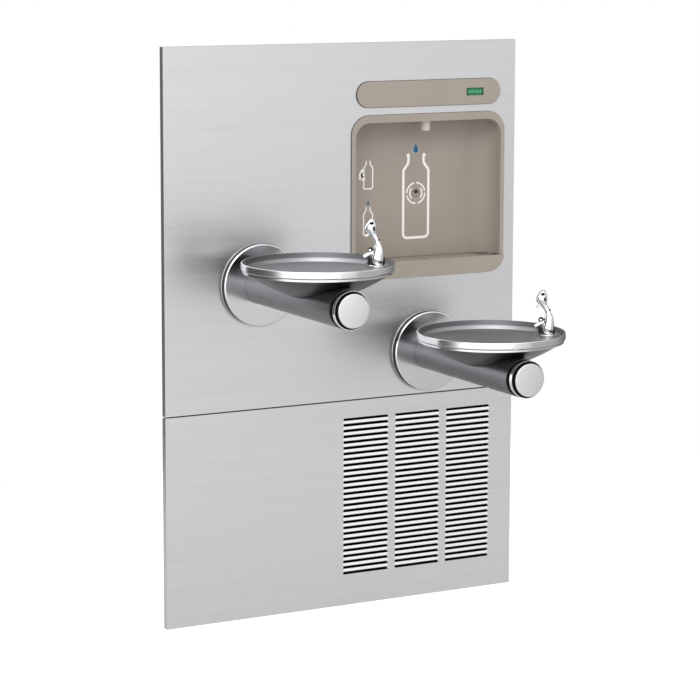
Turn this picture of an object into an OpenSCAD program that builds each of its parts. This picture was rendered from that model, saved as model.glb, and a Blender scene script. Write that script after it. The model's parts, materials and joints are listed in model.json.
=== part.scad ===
// Wall-hung bottle filling station with two drinking fountains at different heights.
// A folded steel front in two panels covers a tube frame that is bolted to the wall. The
// upper panel carries the bottle alcove, its display bar and both fountain arms; the lower
// panel is a louvred access door in front of the chiller.
// X runs right along the panel, Y runs into the wall, Z runs up. The origin is the middle of
// the frame's bolt pattern, on the frame's back face. Lengths are millimetres.

/* [Front panel] */
// Width of both panels
panel_w = 949; // [930:1:1100]
// Height of the whole front
panel_h = 1372; // [1340:1:1500]
// Thickness of the folded sheet
sheet_t = 1.5; // [1.2:0.1:2]
// Depth of the returned edges, which rest on the wall
return_d = 17; // [15:0.5:22]
// Height left for the seam below the right arm's plate
seam_under = 22; // [20:0.5:30]
// Open width of the seam between the panels
seam_gap = 3; // [1:0.5:6]

/* [Mounting frame] */
// Panel at the left and right of the tube frame
frame_side = 17; // [14:0.5:17.5]
// Panel above and below the tube frame
frame_margin = 21; // [18:0.5:30]
// Side of the square tube
tube = 20; // [18:0.5:21]
// Wall of the square tube
tube_t = 2; // [1.5:0.1:3]
// Height from the frame's ends to the wall bolts
bolt_margin = 65; // [40:1:200]
// Radius of the wall bolt holes
frame_hole_r = 4.5; // [3:0.1:6]
// Gap between the recess and the centre post
post_gap = 20.25; // [8:0.25:24]

/* [Louvre grille] */
// Columns of louvres
louvre_columns = 3; // [1:1:3]
// Rows of louvres
louvre_rows = 28; // [4:1:28]
// Length of one louvre slot
louvre_w = 125.5; // [80:0.5:126]
// Open height of one slot
louvre_open = 6.3; // [4:0.1:7]
// Steel above the highest row
grille_head = 32.8; // [28:0.1:60]
// Steel left between two columns
column_gap = 18.5; // [15:0.5:25]
// Steel right of the last column
grille_margin = 63.5; // [50:0.5:80]
// Height of the lowest row above the bottom edge
grille_foot = 80; // [60:0.5:90]
// Slant at the right end of each slot
louvre_slant = 4.5; // [2:0.5:8]
// Depth of the blade pressed in behind each slot
louvre_in = 7; // [4:0.5:9]

/* [Display bar] */
// How much shorter the bar is than the bezel is wide
bar_short = 27.5; // [20:0.5:80]
// Height of the bar, with half-round ends
bar_h = 62.5; // [50:0.5:70]
// How far the bar stands off the panel
bar_proud = 5; // [4:0.5:9]
// Wall of the bar's moulding
bar_t = 2.5; // [2:0.1:3]
// Drop from the panel's top edge to the bar's middle
bar_drop = 124.4; // [110:0.2:130]
// Width of the display window
window_w = 46.5; // [30:0.5:60]
// Height of the display window
window_h = 17; // [12:0.5:24]
// Window's middle, in from the bar's right end
window_in = 73; // [66:0.5:110]

/* [Alcove] */
// Bezel's left edge, right of the panel's middle
alcove_inner = 16.25; // [16:0.25:30]
// Panel right of the bezel
alcove_side = 30.75; // [30:0.25:45]
// Bezel's bottom above the right arm's axis
alcove_over = 185; // [180:0.5:200]
// Drop from the panel's top edge to the bezel's
alcove_drop = 174; // [172:0.5:190]
// Corner radius of the bezel
alcove_r = 48; // [35:0.5:60]
// Bezel width at the sides
bezel_side = 11; // [9:0.5:16]
// Bezel width at the top
bezel_top = 19; // [14:0.5:24]
// How far the bezel stands off the panel
bezel_proud = 4; // [3:0.5:8]
// Height of the sill at the bottom
sill_h = 41; // [34:0.5:48]
// How far the sill stands off the panel
sill_proud = 11; // [8:0.5:16]
// Depth of the recess behind the panel's face
recess_d = 61; // [50:0.5:90]
// Radius between the side walls and the back wall
recess_r = 50; // [20:0.5:55]
// Wall of the mouldings
mould_t = 3; // [2:0.1:4]
// Drop of the bottle sensor below the panel's top edge
sensor_drop = 370.5; // [340:0.5:400]
// Radius of the sensor's window
sensor_r = 5; // [3:0.5:8]

/* [Filling nozzle] */
// Radius of the nozzle
nozzle_r = 12.75; // [10:0.25:15]
// Length of the nozzle below the alcove's ceiling
nozzle_l = 24; // [16:0.5:35]
// Nozzle's middle, behind the panel's face
nozzle_in = 18; // [17:0.5:26]
// Radius of the water way
nozzle_bore_r = 4; // [2:0.1:5]

/* [Fountain arms] */
// Left arm's axis above the middle of the front
left_arm_up = 122.5; // [115:0.5:130]
// Right fountain below the left one
fountain_step = 192.5; // [185:0.5:200]
// Diameter of the arm
arm_d = 90; // [86:0.5:94]
// Wall of the arm
arm_t = 3; // [2:0.1:4]
// Reach of the arm out from the panel
arm_l = 440; // [435:0.5:450]
// Diameter of the cover plate round the arm
cover_d = 197.5; // [180:0.5:210]
// Depth of the cover plate
cover_depth = 17.5; // [15:0.5:22]
// Sheet of the cover plate
cover_t = 2; // [1.5:0.1:3]
// Diameter of the arm's root flange
flange_d = 124; // [120:0.5:128]
// Thickness of the root flange
flange_t = 8; // [6:0.5:9]
// Bolt circle of the root flange
arm_pcd = 107; // [105:0.5:109]
// Radius of the arm bolts
arm_bolt_r = 4; // [3:0.1:4.5]
// Thickness of the plates that carry the arms
plate_t = 4; // [3:0.1:5]
// Height of the plates that carry the arms
plate_h = 150; // [140:1:170]

/* [Basins] */
// Radius of the rim
basin_r = 176; // [170:0.5:182]
// Basin's middle, in from the arm's front end
basin_in = 163; // [158:0.5:168]
// Basin's middle, right of the arm's axis
basin_side = 13; // [8:0.5:16]
// Rim's top above the arm's axis
rim_up = 85.5; // [84:0.5:88]
// Height of the polished rim band
band_h = 16; // [12:0.5:18]
// Width of the rim's flat top
rim_t = 5; // [4:0.5:8]
// Height of the steep inner wall below the rim
inner_wall_h = 20; // [17:0.5:22]
// Depth of the basin at its drain
basin_depth = 50; // [46:0.5:52]
// Sheet of the basin
basin_t = 2; // [1.5:0.1:2.5]
// Height of the thin second band
lip_h = 5; // [3:0.5:7]
// Depth of the skirt's bottom below the rim's top
skirt_depth = 77; // [74:0.5:79]
// Radius of the skirt's flat bottom
skirt_base_r = 60; // [54:0.5:64]
// Bulge of the skirt's cone
skirt_bulge = 4; // [1:0.5:6]

/* [Bubblers] */
// Bubbler's middle, in from the rim
bubbler_in = 41; // [38:0.5:46]
// Direction of the bubbler, clockwise from the right
bubbler_turn = 30; // [25:1:35]
// Direction of the deck's straight edge, clockwise from the right
deck_turn = 38; // [33:1:43]
// Width of the deck, from the rim to its straight edge
deck_w = 78; // [74:0.5:82]
// Deck's top below the rim's top
deck_drop = 8; // [6:0.5:10]
// Height of the mouth guard above the deck
guard_h = 108; // [90:0.5:120]
// Radius of the foot
foot_r = 21; // [18:0.5:24]
// Height of the rubber boot
boot_h = 17; // [12:0.5:20]

/* [Push buttons] */
// Outer radius of the bright ring
ring_r = 44; // [43:0.25:46]
// Length of the bright ring
ring_l = 10; // [8:0.5:14]
// Length of the dark neck behind the ring
neck_l = 12; // [9:0.5:14]
// Radius of the button
button_r = 39.5; // [36:0.25:40]
// How far the button's face stands off the ring
button_proud = 7; // [6:0.5:9]
// How far the button can be pushed in
button_travel = 5; // [3:0.5:5.5]
// Radius of the button's stem
stem_r = 5; // [4:0.25:6]

/* [Chiller] */
// Radius of the compressor
compressor_r = 60; // [50:0.5:62]
// Height of the compressor
compressor_h = 130; // [100:1:160]
// Width of the condenser
condenser_w = 180; // [160:1:184]
// Height of the condenser
condenser_h = 190; // [170:1:220]
// Depth of the condenser
condenser_d = 24; // [18:1:30]
// Fins of the condenser
condenser_fins = 28; // [10:1:40]
// Radius of the fan
fan_r = 70; // [50:0.5:74]
// Blades of the fan
fan_blades = 5; // [3:1:7]
// Radius of the cooling tank
tank_r = 58; // [45:0.5:62]
// Height of the cooling tank
tank_h = 190; // [150:1:240]
// Radius of the filter cartridge
filter_r = 42; // [35:0.5:48]
// Length of the filter cartridge below its head
filter_l = 300; // [220:1:340]

/* [Hidden] */
$fn = 96;

// Shared clearances
overrun = 1; // how far a cut runs past the face it leaves by
slip = 0.3; // between pieces that lie side by side
fit = 0.05; // radial clearance of a sliding stem or a turning shaft
drill = 0.5; // radial clearance of a bolt in its hole

// Planes of the front, from the wall inwards and outwards
wall_y = -tube; // finished wall, which the frame is flush with
face_y = wall_y - return_d; // front face of both panels
top_z = panel_h / 2;
foot_z = -panel_h / 2;
alcove_w = panel_w / 2 - alcove_inner - alcove_side;
right_x = alcove_inner + alcove_w / 2; // the right fountain stands below the alcove
left_x = -right_x;
left_z = left_arm_up;
right_z = left_z - fountain_step;
seam_z = right_z - plate_h / 2 - seam_under - tube / 2;

// Folded panels
hook_l = 40; // length of a hanging tab
hook_t = 2.5; // thickness of a hanging tab
hook_share = 0.3; // tabs stand this far out, as a share of the panel's width
screw_r = 2.5;
screw_head_r = 4.5;
screw_head_h = 2;
screw_l = 9;

// Frame
frame_w = panel_w - 2 * frame_side;
frame_h = panel_h - 2 * frame_margin;
frame_bolt_z = frame_h - 2 * bolt_margin;
inner_w = frame_w - 2 * tube;
rail_l = inner_w;
upright_x = (frame_w - tube) / 2;
rail_top_z = (frame_h - tube) / 2;

// Louvres
grille_right = panel_w / 2 - grille_margin;
grille_low = foot_z + grille_foot;
louvre_pitch = (seam_z - grille_low - grille_head) / louvre_rows;
blade_t = 1.2;

// Display bar
bar_w = alcove_w - bar_short;
bar_z = top_z - bar_drop;
window_x = right_x + bar_w / 2 - window_in;
lens_t = 2.5;
lcd_border = 2; // module around the window
lcd_d = 8;
board_w = 90;
board_h = 44;
board_t = 1.6;
chip_w = 16;
chip_h = 3;
peg_r = 3;
peg_in = 20; // pegs stand this far in from the bar's ends

// Alcove
alcove_top = top_z - alcove_drop;
alcove_foot = right_z + alcove_over;
alcove_h = alcove_top - alcove_foot;
alcove_mid = (alcove_top + alcove_foot) / 2;
sill_z = alcove_foot + sill_h;
recess_w = alcove_w - 2 * bezel_side;
post_x = right_x - recess_w / 2 - mould_t - post_gap - tube / 2;
recess_top = alcove_top - bezel_top;
recess_corner = alcove_r - bezel_side;
recess_back = face_y + recess_d;
sensor_z = top_z - sensor_drop;
tray_step = 6; // floor of the tray below the sill's top edge
tray_lip = 3; // upstand along the sill's top edge
slot_w = 52;
slot_d = 7;
slot_back = 10;
sump_w = 76;
sump_d = 26;
sump_h = 22;
spout_r = 11;
spout_l = 14;
module_w = 64;
module_h = 44;
module_d = 18;
lamp_r = 4;

// Filling nozzle, valve and tubes
nozzle_y = face_y + nozzle_in;
nozzle_taper = 1;
shank_r = 7;
shank_l = 12;
pipe_r = 4.75;
pipe_t = 0.8;
valve_w = 46;
valve_d = 30;
valve_h = 26;
valve_left = 84; // valve's middle, left of the nozzle
coil_r = 15;
coil_h = 34;
cap_h = 6;
bend_r = 12;
stub_l = 14;
drain_r = 13;
drain_t = 1.5;
drain_up = 32; // end of the alcove's drain above the right arm's axis

// Arms
arm_r = arm_d / 2;
root_in = return_d - plate_t; // carrying plate's front behind the panel's face
panel_hole_r = flange_d / 2 + 3 * drill;
arm_bolts_n = 4;
bolt_head_h = 5;
bolt_head_r = 6.5;
nut_h = 6.5;
cover_round = 4;
plate_hole_share = 0.85; // pipe opening, as a share of the arm's radius

// Basins
basin_out = arm_l - basin_in; // basin's middle, out from the panel
bubbler_reach = basin_r - bubbler_in; // bubbler's middle, out from the basin's
deck_reach = basin_r - deck_w;
groove_h = 1.5; // shadow gap between the rim band and the thin band
groove_in = 4;
lip_in = 3.5;
lip_r = basin_r - lip_in;
skirt_in = 9; // top of the skirt's cone, in from the rim
skirt_top_r = basin_r - skirt_in;
wall_draft = 9; // lean of the steep inner wall
wall_foot_r = basin_r - rim_t - wall_draft;
skirt_top = band_h + groove_h + lip_h;
drain_hole_r = 24;
cone_steps = 8;
edge_r = 2; // rounding of the rim's edges
edge_steps = 4;
strainer_r = 31;
strainer_t = 2;
tail_r = 21;
tail_t = 2;
tail_l = 18;
grate_hole_r = 2.6;
grate_ring_r = 17;
grate_n = 12;
grate_shares = [0.5, 1]; // size of the inner and outer ring of holes
waste_r = 16;
waste_t = 1.5;
waste_bend = 20;
waste_low = 18; // waste below the arm's axis
waste_out = 90; // waste's end behind the frame's back
spigot_l = 40; // straight end of a pipe, up to its collar
collar_l = 4;
collar_t = 2;
cut_r = 17; // hole in the basin below the deck

// Bubblers: side and front outlines of the mouth guard, as shares of its height
guard_side_shares = [[-0.1, 0.02], [-0.1, 0.2], [-0.095, 0.35], [-0.07, 0.47], [-0.01, 0.56],
    [0.04, 0.66], [0.06, 0.73], [0.03, 0.78], [0.045, 0.88], [0.08, 0.965], [0.13, 1],
    [0.18, 0.965], [0.225, 0.88], [0.265, 0.81], [0.245, 0.765], [0.19, 0.73], [0.135, 0.64],
    [0.095, 0.55], [0.09, 0.47], [0.125, 0.38], [0.15, 0.28], [0.15, 0.14], [0.08, 0.02]];
guard_front_shares = [[0.15, 0], [0.185, 0.05], [0.19, 0.2], [0.175, 0.36], [0.12, 0.52],
    [0.085, 0.62], [0.085, 0.68], [0.13, 0.76], [0.165, 0.84], [0.155, 0.92], [0.1, 0.98],
    [0.04, 1]];
foot_t = 3;
shank_out_r = 8;
shank_down = 18;
spout_end_share = [0.3, 0.21]; // tip of the spout, as shares of the guard's height
spout_root_share = [0.04, 0.33];
spout_tube_r = 4.2;
jet_r = 2.2;
boot_r = 13.5;
boot_span = 12;
boot_shift = -2;
bead_r = 3.2;
bead_share = [0.165, 0.33];
tube_r = 3.2; // bubbler's tube
tube_sides = 8;
tube_hole = drain_hole_r + 2 * tube_r; // the tube's way through the skirt, out from its middle

// Buttons
sleeve_l = 24; // ring's sleeve inside the arm
ring_back = arm_l + neck_l; // back of the bright ring, out from the panel
ring_front = ring_back + ring_l;
button_front = ring_front + button_proud;
cap_t = 1.5;
cap_round = 1.5;
button_t = 14;
button_wall = 6;
pocket_r = button_r - button_wall;
valve_r = 26;
valve_l = 42;
valve_in = 14;
valve_front = arm_l - valve_in; // front of the push valve, out from the panel
neck_r = arm_r - arm_t - slip;
boss_r = 9;
boss_l = 10;
stem_deep = 8; // stem's reach into the valve's boss at rest
supply_x = -24;
supply_z = -14;
spring_r = 12;
spring_wire = 1;
spring_turns = 5;
spring_steps = 12;

// Chiller
shelf_z = -frame_h / 2 + tube;
shelf_side = 33.5; // between the shelf and the frame's right upright
shelf_end = 10; // shelf left of the tank
shelf_right = frame_w / 2 - tube - shelf_side;
shelf_gap = 4;
shelf_y0 = wall_y + shelf_gap;
shelf_y1 = 152;
shelf_t = 2.5;
shelf_lip = 18;
deck_z = shelf_z + shelf_t;
condenser_side = 14; // between the condenser and the shelf's right end
condenser_x = shelf_right - condenser_side - condenser_w / 2;
condenser_y = -12;
fin_t = 0.6;
end_t = 3;
coil_tube_r = 4;
coil_rows = 5;
shroud_t = 3;
duct_l = 26;
fan_gap = 4;
fan_y = condenser_y + condenser_d + shroud_t + fan_gap;
fan_l = 16;
hub_r = 18;
blade_pitch = 32;
shaft_r = 3;
shaft_l = 34;
motor_r = 28;
motor_l = 36;
spider_w = 12;
fan_z = deck_z + condenser_h / 2;
compressor_gap = 4; // between the condenser and the compressor, seen from the front
compressor_x = condenser_x - condenser_w / 2 - compressor_gap - compressor_r;
compressor_y = 84;
compressor_foot_share = 0.75; // feet stand this far out, as a share of the radius
compressor_foot_r = 8;
compressor_foot_h = 10;
tank_gap = 22;
tank_x = compressor_x - compressor_r - tank_gap - tank_r;
shelf_left = tank_x - tank_r - shelf_end;
tank_y = 80;
tank_t = 12;
filter_side = 85.5; // between the cartridge and the frame's left upright
filter_x = -frame_w / 2 + tube + filter_side + filter_r;
filter_y = 58;
head_h = 42;
head_share = 0.75; // head's radius, as a share of the cartridge's
port_share = 0.7; // ports' height, as a share of the head's
head_drop = 26; // head's top below the seam rail's top
port_l = 22;
neck_filter_r = 16;
neck_filter_l = 22;
filter_round = 10;
bracket_t = 3;

// Points of an arc from p to q that bulges by rise at its middle, to the right of the way
function arc_points(p, q, rise, n) =
    let (d = q - p, l = norm(d), side = [d[1], -d[0]] / l,
         r = (l * l / 4 + rise * rise) / (2 * rise), half = asin(l / (2 * r)),
         c = (p + q) / 2 - side * (r - rise))
    [for (i = [0 : n])
        let (a = -half + 2 * half * i / n, u = d / l)
        c + r * (side * cos(a) + u * sin(a))];

// Closed tube along a row of points, as one polyhedron
module swept_tube(path, r, sides) {
    last = len(path) - 1;
    ahead = [for (i = [0 : last]) path[min(i + 1, last)] - path[max(i - 1, 0)]];
    along = [for (v = ahead) v / norm(v)];
    aside = [for (t = along) let (s = cross(t, abs(t[2]) < 0.9 ? [0, 0, 1] : [1, 0, 0])) s / norm(s)];
    points = [for (i = [0 : last], k = [0 : sides - 1])
        let (a = 360 * k / sides, up = cross(aside[i], along[i]))
        path[i] + r * (aside[i] * cos(a) + up * sin(a))];
    walls = [for (i = [0 : last - 1], k = [0 : sides - 1], half = [0, 1])
        let (a = i * sides + k, b = i * sides + (k + 1) % sides)
        half == 0 ? [a, b, a + sides] : [b, b + sides, a + sides]];
    start = [for (k = [1 : sides - 2]) [0, k + 1, k]];
    tail = last * sides;
    end = [for (k = [1 : sides - 2]) [tail, tail + k, tail + k + 1]];
    polyhedron(points, concat(walls, start, end));
}

// Rounded rectangle of exact arcs, centred
module rounded(w, h, r) {
    square([w - 2 * r, h], center = true);
    square([w, h - 2 * r], center = true);
    for (x = [-1, 1], y = [-1, 1])
        translate([x * (w / 2 - r), y * (h / 2 - r)]) circle(r);
}

// Extrudes a drawing of X and Z over Y, from y0 to y1
module upright(y0, y1) {
    translate([0, y1, 0]) rotate([90, 0, 0]) linear_extrude(y1 - y0) children();
}

// Box between two corners
module block(low, high) {
    translate(low) cube(high - low);
}

// Straight round bar outwards from the wall, from distance a to distance b of the panel's face
module outward(r, a, b) {
    rotate([90, 0, 0]) translate([0, 0, a]) cylinder(r = r, h = b - a);
}

// Puts a fountain's pieces, drawn round its arm's axis on the panel's face, in their place
module at_left() {
    translate([left_x, face_y, left_z]) children();
}

module at_right() {
    translate([right_x, face_y, right_z]) children();
}

module at_basin() {
    translate([basin_side, -basin_out, rim_up]) children();
}

module at_bubbler() {
    at_basin() rotate([0, 0, -bubbler_turn]) translate([bubbler_reach, 0, -deck_drop])
        rotate([0, 0, 180]) children();
}

// Front panel
module folded_pan(z0, z1) {
    difference() {
        block([-panel_w / 2, face_y, z0], [panel_w / 2, wall_y, z1]);
        block([-panel_w / 2 + sheet_t, face_y + sheet_t, z0 + sheet_t],
              [panel_w / 2 - sheet_t, wall_y + overrun, z1 - sheet_t]);
    }
}

module upper_panel() {
    color("gainsboro") difference() {
        folded_pan(seam_z + seam_gap / 2, top_z);
        upright(face_y - overrun, face_y + sheet_t + overrun) {
            recess_front(mould_t + slip, sill_z - tray_step - mould_t - slip);
            translate([window_x, bar_z])
                square([window_w + 2 * lcd_border + 2 * slip, window_h + 2 * lcd_border + 2 * slip],
                       center = true);
            for (s = [-1, 1])
                translate([right_x + s * (bar_w / 2 - peg_in), bar_z]) circle(peg_r + slip);
            translate([left_x, left_z]) circle(panel_hole_r);
            translate([right_x, right_z]) circle(panel_hole_r);
        }
    }
}

module louvre_slot() {
    polygon([[0, -louvre_open / 2], [louvre_w, -louvre_open / 2],
             [louvre_w - louvre_slant, louvre_open / 2], [0, louvre_open / 2]]);
}

module louvre_blade() {
    translate([0, face_y + sheet_t, 0]) rotate([90, 0, 90]) linear_extrude(louvre_w - louvre_slant)
        polygon([[-sheet_t / 2, louvre_open / 2], [-sheet_t / 2, louvre_open / 2 + blade_t],
                 [louvre_in - blade_t, -louvre_open / 2], [louvre_in, -louvre_open / 2 - blade_t],
                 [louvre_in - blade_t, -louvre_open / 2 - blade_t]]);
}

module each_louvre() {
    for (c = [0 : louvre_columns - 1], r = [0 : louvre_rows - 1])
        translate([grille_right - louvre_w - c * (louvre_w + column_gap), 0, grille_low + r * louvre_pitch])
            children();
}

module lower_panel() {
    color("silver") {
        difference() {
            folded_pan(foot_z, seam_z - seam_gap / 2);
            each_louvre() upright(face_y - overrun, face_y + sheet_t + overrun) louvre_slot();
            each_hook() translate([0, face_y + return_d / 2, foot_z - overrun])
                cylinder(r = screw_r + drill, h = sheet_t + 2 * overrun);
        }
        each_louvre() louvre_blade();
    }
}

// Tabs and screws share these places along the panel's width
module each_hook() {
    for (s = [-1, 0, 1]) translate([s * hook_share * panel_w, 0, 0]) children();
}

module panel_screws() {
    color("dimgray") each_hook() translate([0, face_y + return_d / 2, foot_z]) {
        translate([0, 0, -screw_head_h]) cylinder(r = screw_head_r, h = screw_head_h);
        translate([0, 0, -screw_head_h / 2]) cylinder(r = screw_r, h = screw_l);
    }
}

// Mounting frame
module square_tube(l) {
    difference() {
        cube([tube, tube, l]);
        translate([tube_t, tube_t, -overrun])
            cube([tube - 2 * tube_t, tube - 2 * tube_t, l + 2 * overrun]);
    }
}

module frame_upright(x) {
    color("slategray") difference() {
        translate([x - tube / 2, -tube, -frame_h / 2]) square_tube(frame_h);
        for (s = [-1, 1]) translate([x, overrun, s * frame_bolt_z / 2])
            outward(frame_hole_r, 0, tube + 2 * overrun);
    }
}

module rail(x0, x1, z) {
    translate([x0, 0, z - tube / 2]) rotate([90, 0, 90]) translate([-tube, 0, 0]) square_tube(x1 - x0);
}

module frame_left() frame_upright(-upright_x);

module frame_right() frame_upright(upright_x);

module frame_post() {
    color("slategray") translate([post_x - tube / 2, -tube, seam_z + tube / 2])
        square_tube(rail_top_z - tube - seam_z);
}

// Angled tab that reaches forward from a rail to the returned edge of a panel
module hook(z_rail, z_edge, way) {
    low = min(z_rail, z_edge);
    high = max(z_rail, z_edge);
    block([-hook_l / 2, wall_y - hook_t, low], [hook_l / 2, wall_y, high]);
    block([-hook_l / 2, face_y + sheet_t + overrun, way > 0 ? high - hook_t : low],
          [hook_l / 2, wall_y, way > 0 ? high : low + hook_t]);
}

module frame_top() {
    color("slategray") {
        rail(-rail_l / 2, rail_l / 2, rail_top_z);
        each_hook() hook(rail_top_z, top_z - sheet_t, 1);
    }
}

module frame_bottom() {
    color("slategray") difference() {
        union() {
            rail(-rail_l / 2, rail_l / 2, -rail_top_z);
            each_hook() hook(-rail_top_z, foot_z + sheet_t, -1);
        }
        each_hook() translate([0, face_y + return_d / 2, foot_z])
            cylinder(r = screw_r + fit, h = sheet_t + hook_t + overrun);
    }
}

module frame_seam_rail() {
    color("slategray") rail(-rail_l / 2, rail_l / 2, seam_z);
}

// Display bar
module pill(w, h) {
    square([w - h, h], center = true);
    for (s = [-1, 1]) translate([s * (w - h) / 2, 0]) circle(h / 2);
}

module display_bar() {
    color("rosybrown") difference() {
        union() {
            difference() {
                upright(face_y - bar_proud, face_y) translate([right_x, bar_z]) pill(bar_w, bar_h);
                upright(face_y - bar_proud + bar_t, face_y + overrun)
                    translate([right_x, bar_z]) pill(bar_w - 2 * bar_t, bar_h - 2 * bar_t);
            }
            for (s = [-1, 1]) translate([right_x + s * (bar_w / 2 - peg_in), face_y, bar_z])
                outward(peg_r, -2 * sheet_t, bar_proud - bar_t / 2);
        }
        upright(face_y - bar_proud - overrun, face_y)
            translate([window_x, bar_z]) square([window_w, window_h], center = true);
    }
}

module display_window() {
    color("seagreen") upright(face_y - bar_proud + sheet_t / 3, face_y - bar_proud + lens_t)
        translate([window_x, bar_z]) square([window_w - slip, window_h - slip], center = true);
}

module display_board() {
    back = face_y - bar_proud + lens_t + lcd_d;
    color("darkgreen") {
        upright(face_y - bar_proud + lens_t, back) translate([window_x, bar_z])
            square([window_w + 2 * lcd_border, window_h + 2 * lcd_border], center = true);
        upright(back, back + board_t) translate([window_x, bar_z])
            square([board_w, board_h], center = true);
        upright(back + board_t, back + board_t + chip_h) translate([window_x - board_w / 4, bar_z])
            square([chip_w, chip_w], center = true);
    }
}

// Alcove
module recess_plan(grow) {
    // seen from above: straight mouth, round back corners
    w = recess_w + 2 * grow;
    d = recess_d + bezel_proud + grow;
    r = recess_r + grow;
    translate([right_x, face_y - bezel_proud]) {
        translate([-w / 2, -overrun]) square([w, d - r + overrun]);
        translate([-w / 2 + r, 0]) square([w - 2 * r, d]);
        for (s = [-1, 1]) translate([s * (w / 2 - r), d - r]) circle(r);
    }
}

module recess_front(grow, low) {
    // seen from the front: round upper corners, straight sides down to the tray
    translate([right_x, 0]) {
        translate([-recess_w / 2 - grow, low])
            square([recess_w + 2 * grow, recess_top - recess_corner - low]);
        translate([-recess_w / 2 + recess_corner, low])
            square([recess_w - 2 * recess_corner, recess_top + grow - low]);
        for (s = [-1, 1]) translate([s * (recess_w / 2 - recess_corner), recess_top - recess_corner])
            circle(recess_corner + grow);
    }
}

module recess_hollow(grow) {
    intersection() {
        upright(face_y - bezel_proud - overrun, recess_back + grow)
            recess_front(grow, sill_z - tray_step - mould_t);
        translate([0, 0, sill_z - tray_step - mould_t - overrun])
            linear_extrude(recess_top - sill_z + tray_step + mould_t + grow + 2 * overrun)
            recess_plan(grow);
    }
}

module bezel_outline() {
    translate([right_x, alcove_mid]) rounded(alcove_w, alcove_h, alcove_r);
}

module alcove_housing() {
    color("rosybrown") difference() {
        union() {
            upright(face_y - bezel_proud, face_y) difference() {
                bezel_outline();
                translate([right_x - alcove_w, alcove_foot - overrun])
                    square([2 * alcove_w, sill_h + overrun]);
            }
            intersection() {
                recess_hollow(mould_t);
                upright(face_y - bezel_proud, recess_back + mould_t + overrun)
                    translate([right_x - alcove_w, sill_z]) square([2 * alcove_w, alcove_h]);
            }
        }
        recess_hollow(0);
        translate([right_x, nozzle_y, recess_top - overrun])
            cylinder(r = shank_r + slip, h = mould_t + 2 * overrun);
        translate([right_x, recess_back - overrun, sensor_z])
            outward(sensor_r + slip, -mould_t - 2 * overrun, overrun);
    }
}

module drip_tray() {
    floor_z = sill_z - tray_step;
    slot_y = recess_back - slot_back;
    color("rosybrown") difference() {
        union() {
            // sill in front of the panel, with the bezel's lower corners
            intersection() {
                upright(face_y - sill_proud, face_y) bezel_outline();
                block([right_x - alcove_w, face_y - sill_proud, alcove_foot - overrun],
                      [right_x + alcove_w, face_y, sill_z - slip]);
            }
            // floor of the recess
            translate([0, 0, floor_z - mould_t]) linear_extrude(mould_t) intersection() {
                recess_plan(-slip);
                translate([right_x - alcove_w, face_y - overrun]) square([2 * alcove_w, recess_d + overrun]);
            }
            // sump and its spout
            block([right_x - sump_w / 2, slot_y - sump_d, floor_z - sump_h],
                  [right_x + sump_w / 2, slot_y + slot_back - slip, floor_z - mould_t]);
            translate([right_x, slot_y - sump_d / 2, floor_z - sump_h - spout_l])
                cylinder(r = spout_r, h = spout_l + mould_t);
        }
        // hollow behind the sill's face, open to the recess above its floor
        block([right_x - recess_w / 2 + mould_t, face_y - sill_proud + mould_t, floor_z],
              [right_x + recess_w / 2 - mould_t, face_y + overrun, sill_z - tray_lip]);
        block([right_x - recess_w / 2 + mould_t, face_y - sill_proud + 2 * mould_t, floor_z],
              [right_x + recess_w / 2 - mould_t, face_y + overrun, sill_z + overrun]);
        block([right_x - slot_w / 2, slot_y - slot_d, floor_z - mould_t - overrun],
              [right_x + slot_w / 2, slot_y, floor_z + overrun]);
        block([right_x - sump_w / 2 + mould_t, slot_y - sump_d + mould_t, floor_z - sump_h + mould_t],
              [right_x + sump_w / 2 - mould_t, slot_y + slot_back - slip - mould_t, floor_z - mould_t]);
        translate([right_x, slot_y - sump_d / 2, floor_z - sump_h - spout_l - overrun])
            cylinder(r = spout_r - mould_t, h = spout_l + 2 * mould_t);
    }
}

module alcove_drain() {
    top = sill_z - tray_step - sump_h;
    end = right_z + drain_up;
    color("dimgray") translate([right_x, recess_back - slot_back - sump_d / 2, end]) difference() {
        cylinder(r = drain_r, h = top - end);
        translate([0, 0, -overrun]) cylinder(r = drain_r - drain_t, h = top - end + 2 * overrun);
    }
}

module sensor_window() {
    color("black") translate([right_x, recess_back, sensor_z]) outward(sensor_r, -mould_t, slip);
}

module sensor_module() {
    y = recess_back + mould_t;
    color("darkslategray") {
        block([right_x - module_w / 2, y, sensor_z - module_h / 2],
              [right_x + module_w / 2, y + module_d, sensor_z + module_h / 2]);
        for (s = [-1, 1]) translate([right_x + s * module_w / 4, y + module_d, sensor_z])
            outward(lamp_r, -mould_t, 0);
    }
}

// Filling nozzle, valve and tube
module fill_nozzle() {
    color("gray") translate([right_x, nozzle_y, recess_top]) difference() {
        union() {
            translate([0, 0, -nozzle_l])
                cylinder(r1 = nozzle_r - nozzle_taper, r2 = nozzle_r, h = nozzle_l);
            translate([0, 0, -overrun]) cylinder(r = shank_r, h = shank_l + overrun);
        }
        translate([0, 0, -nozzle_l - overrun])
            cylinder(r = nozzle_bore_r, h = nozzle_l + shank_l + 2 * overrun);
        translate([0, 0, -nozzle_l - overrun]) cylinder(r = shank_r, h = nozzle_l / 4 + overrun);
    }
}

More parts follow.
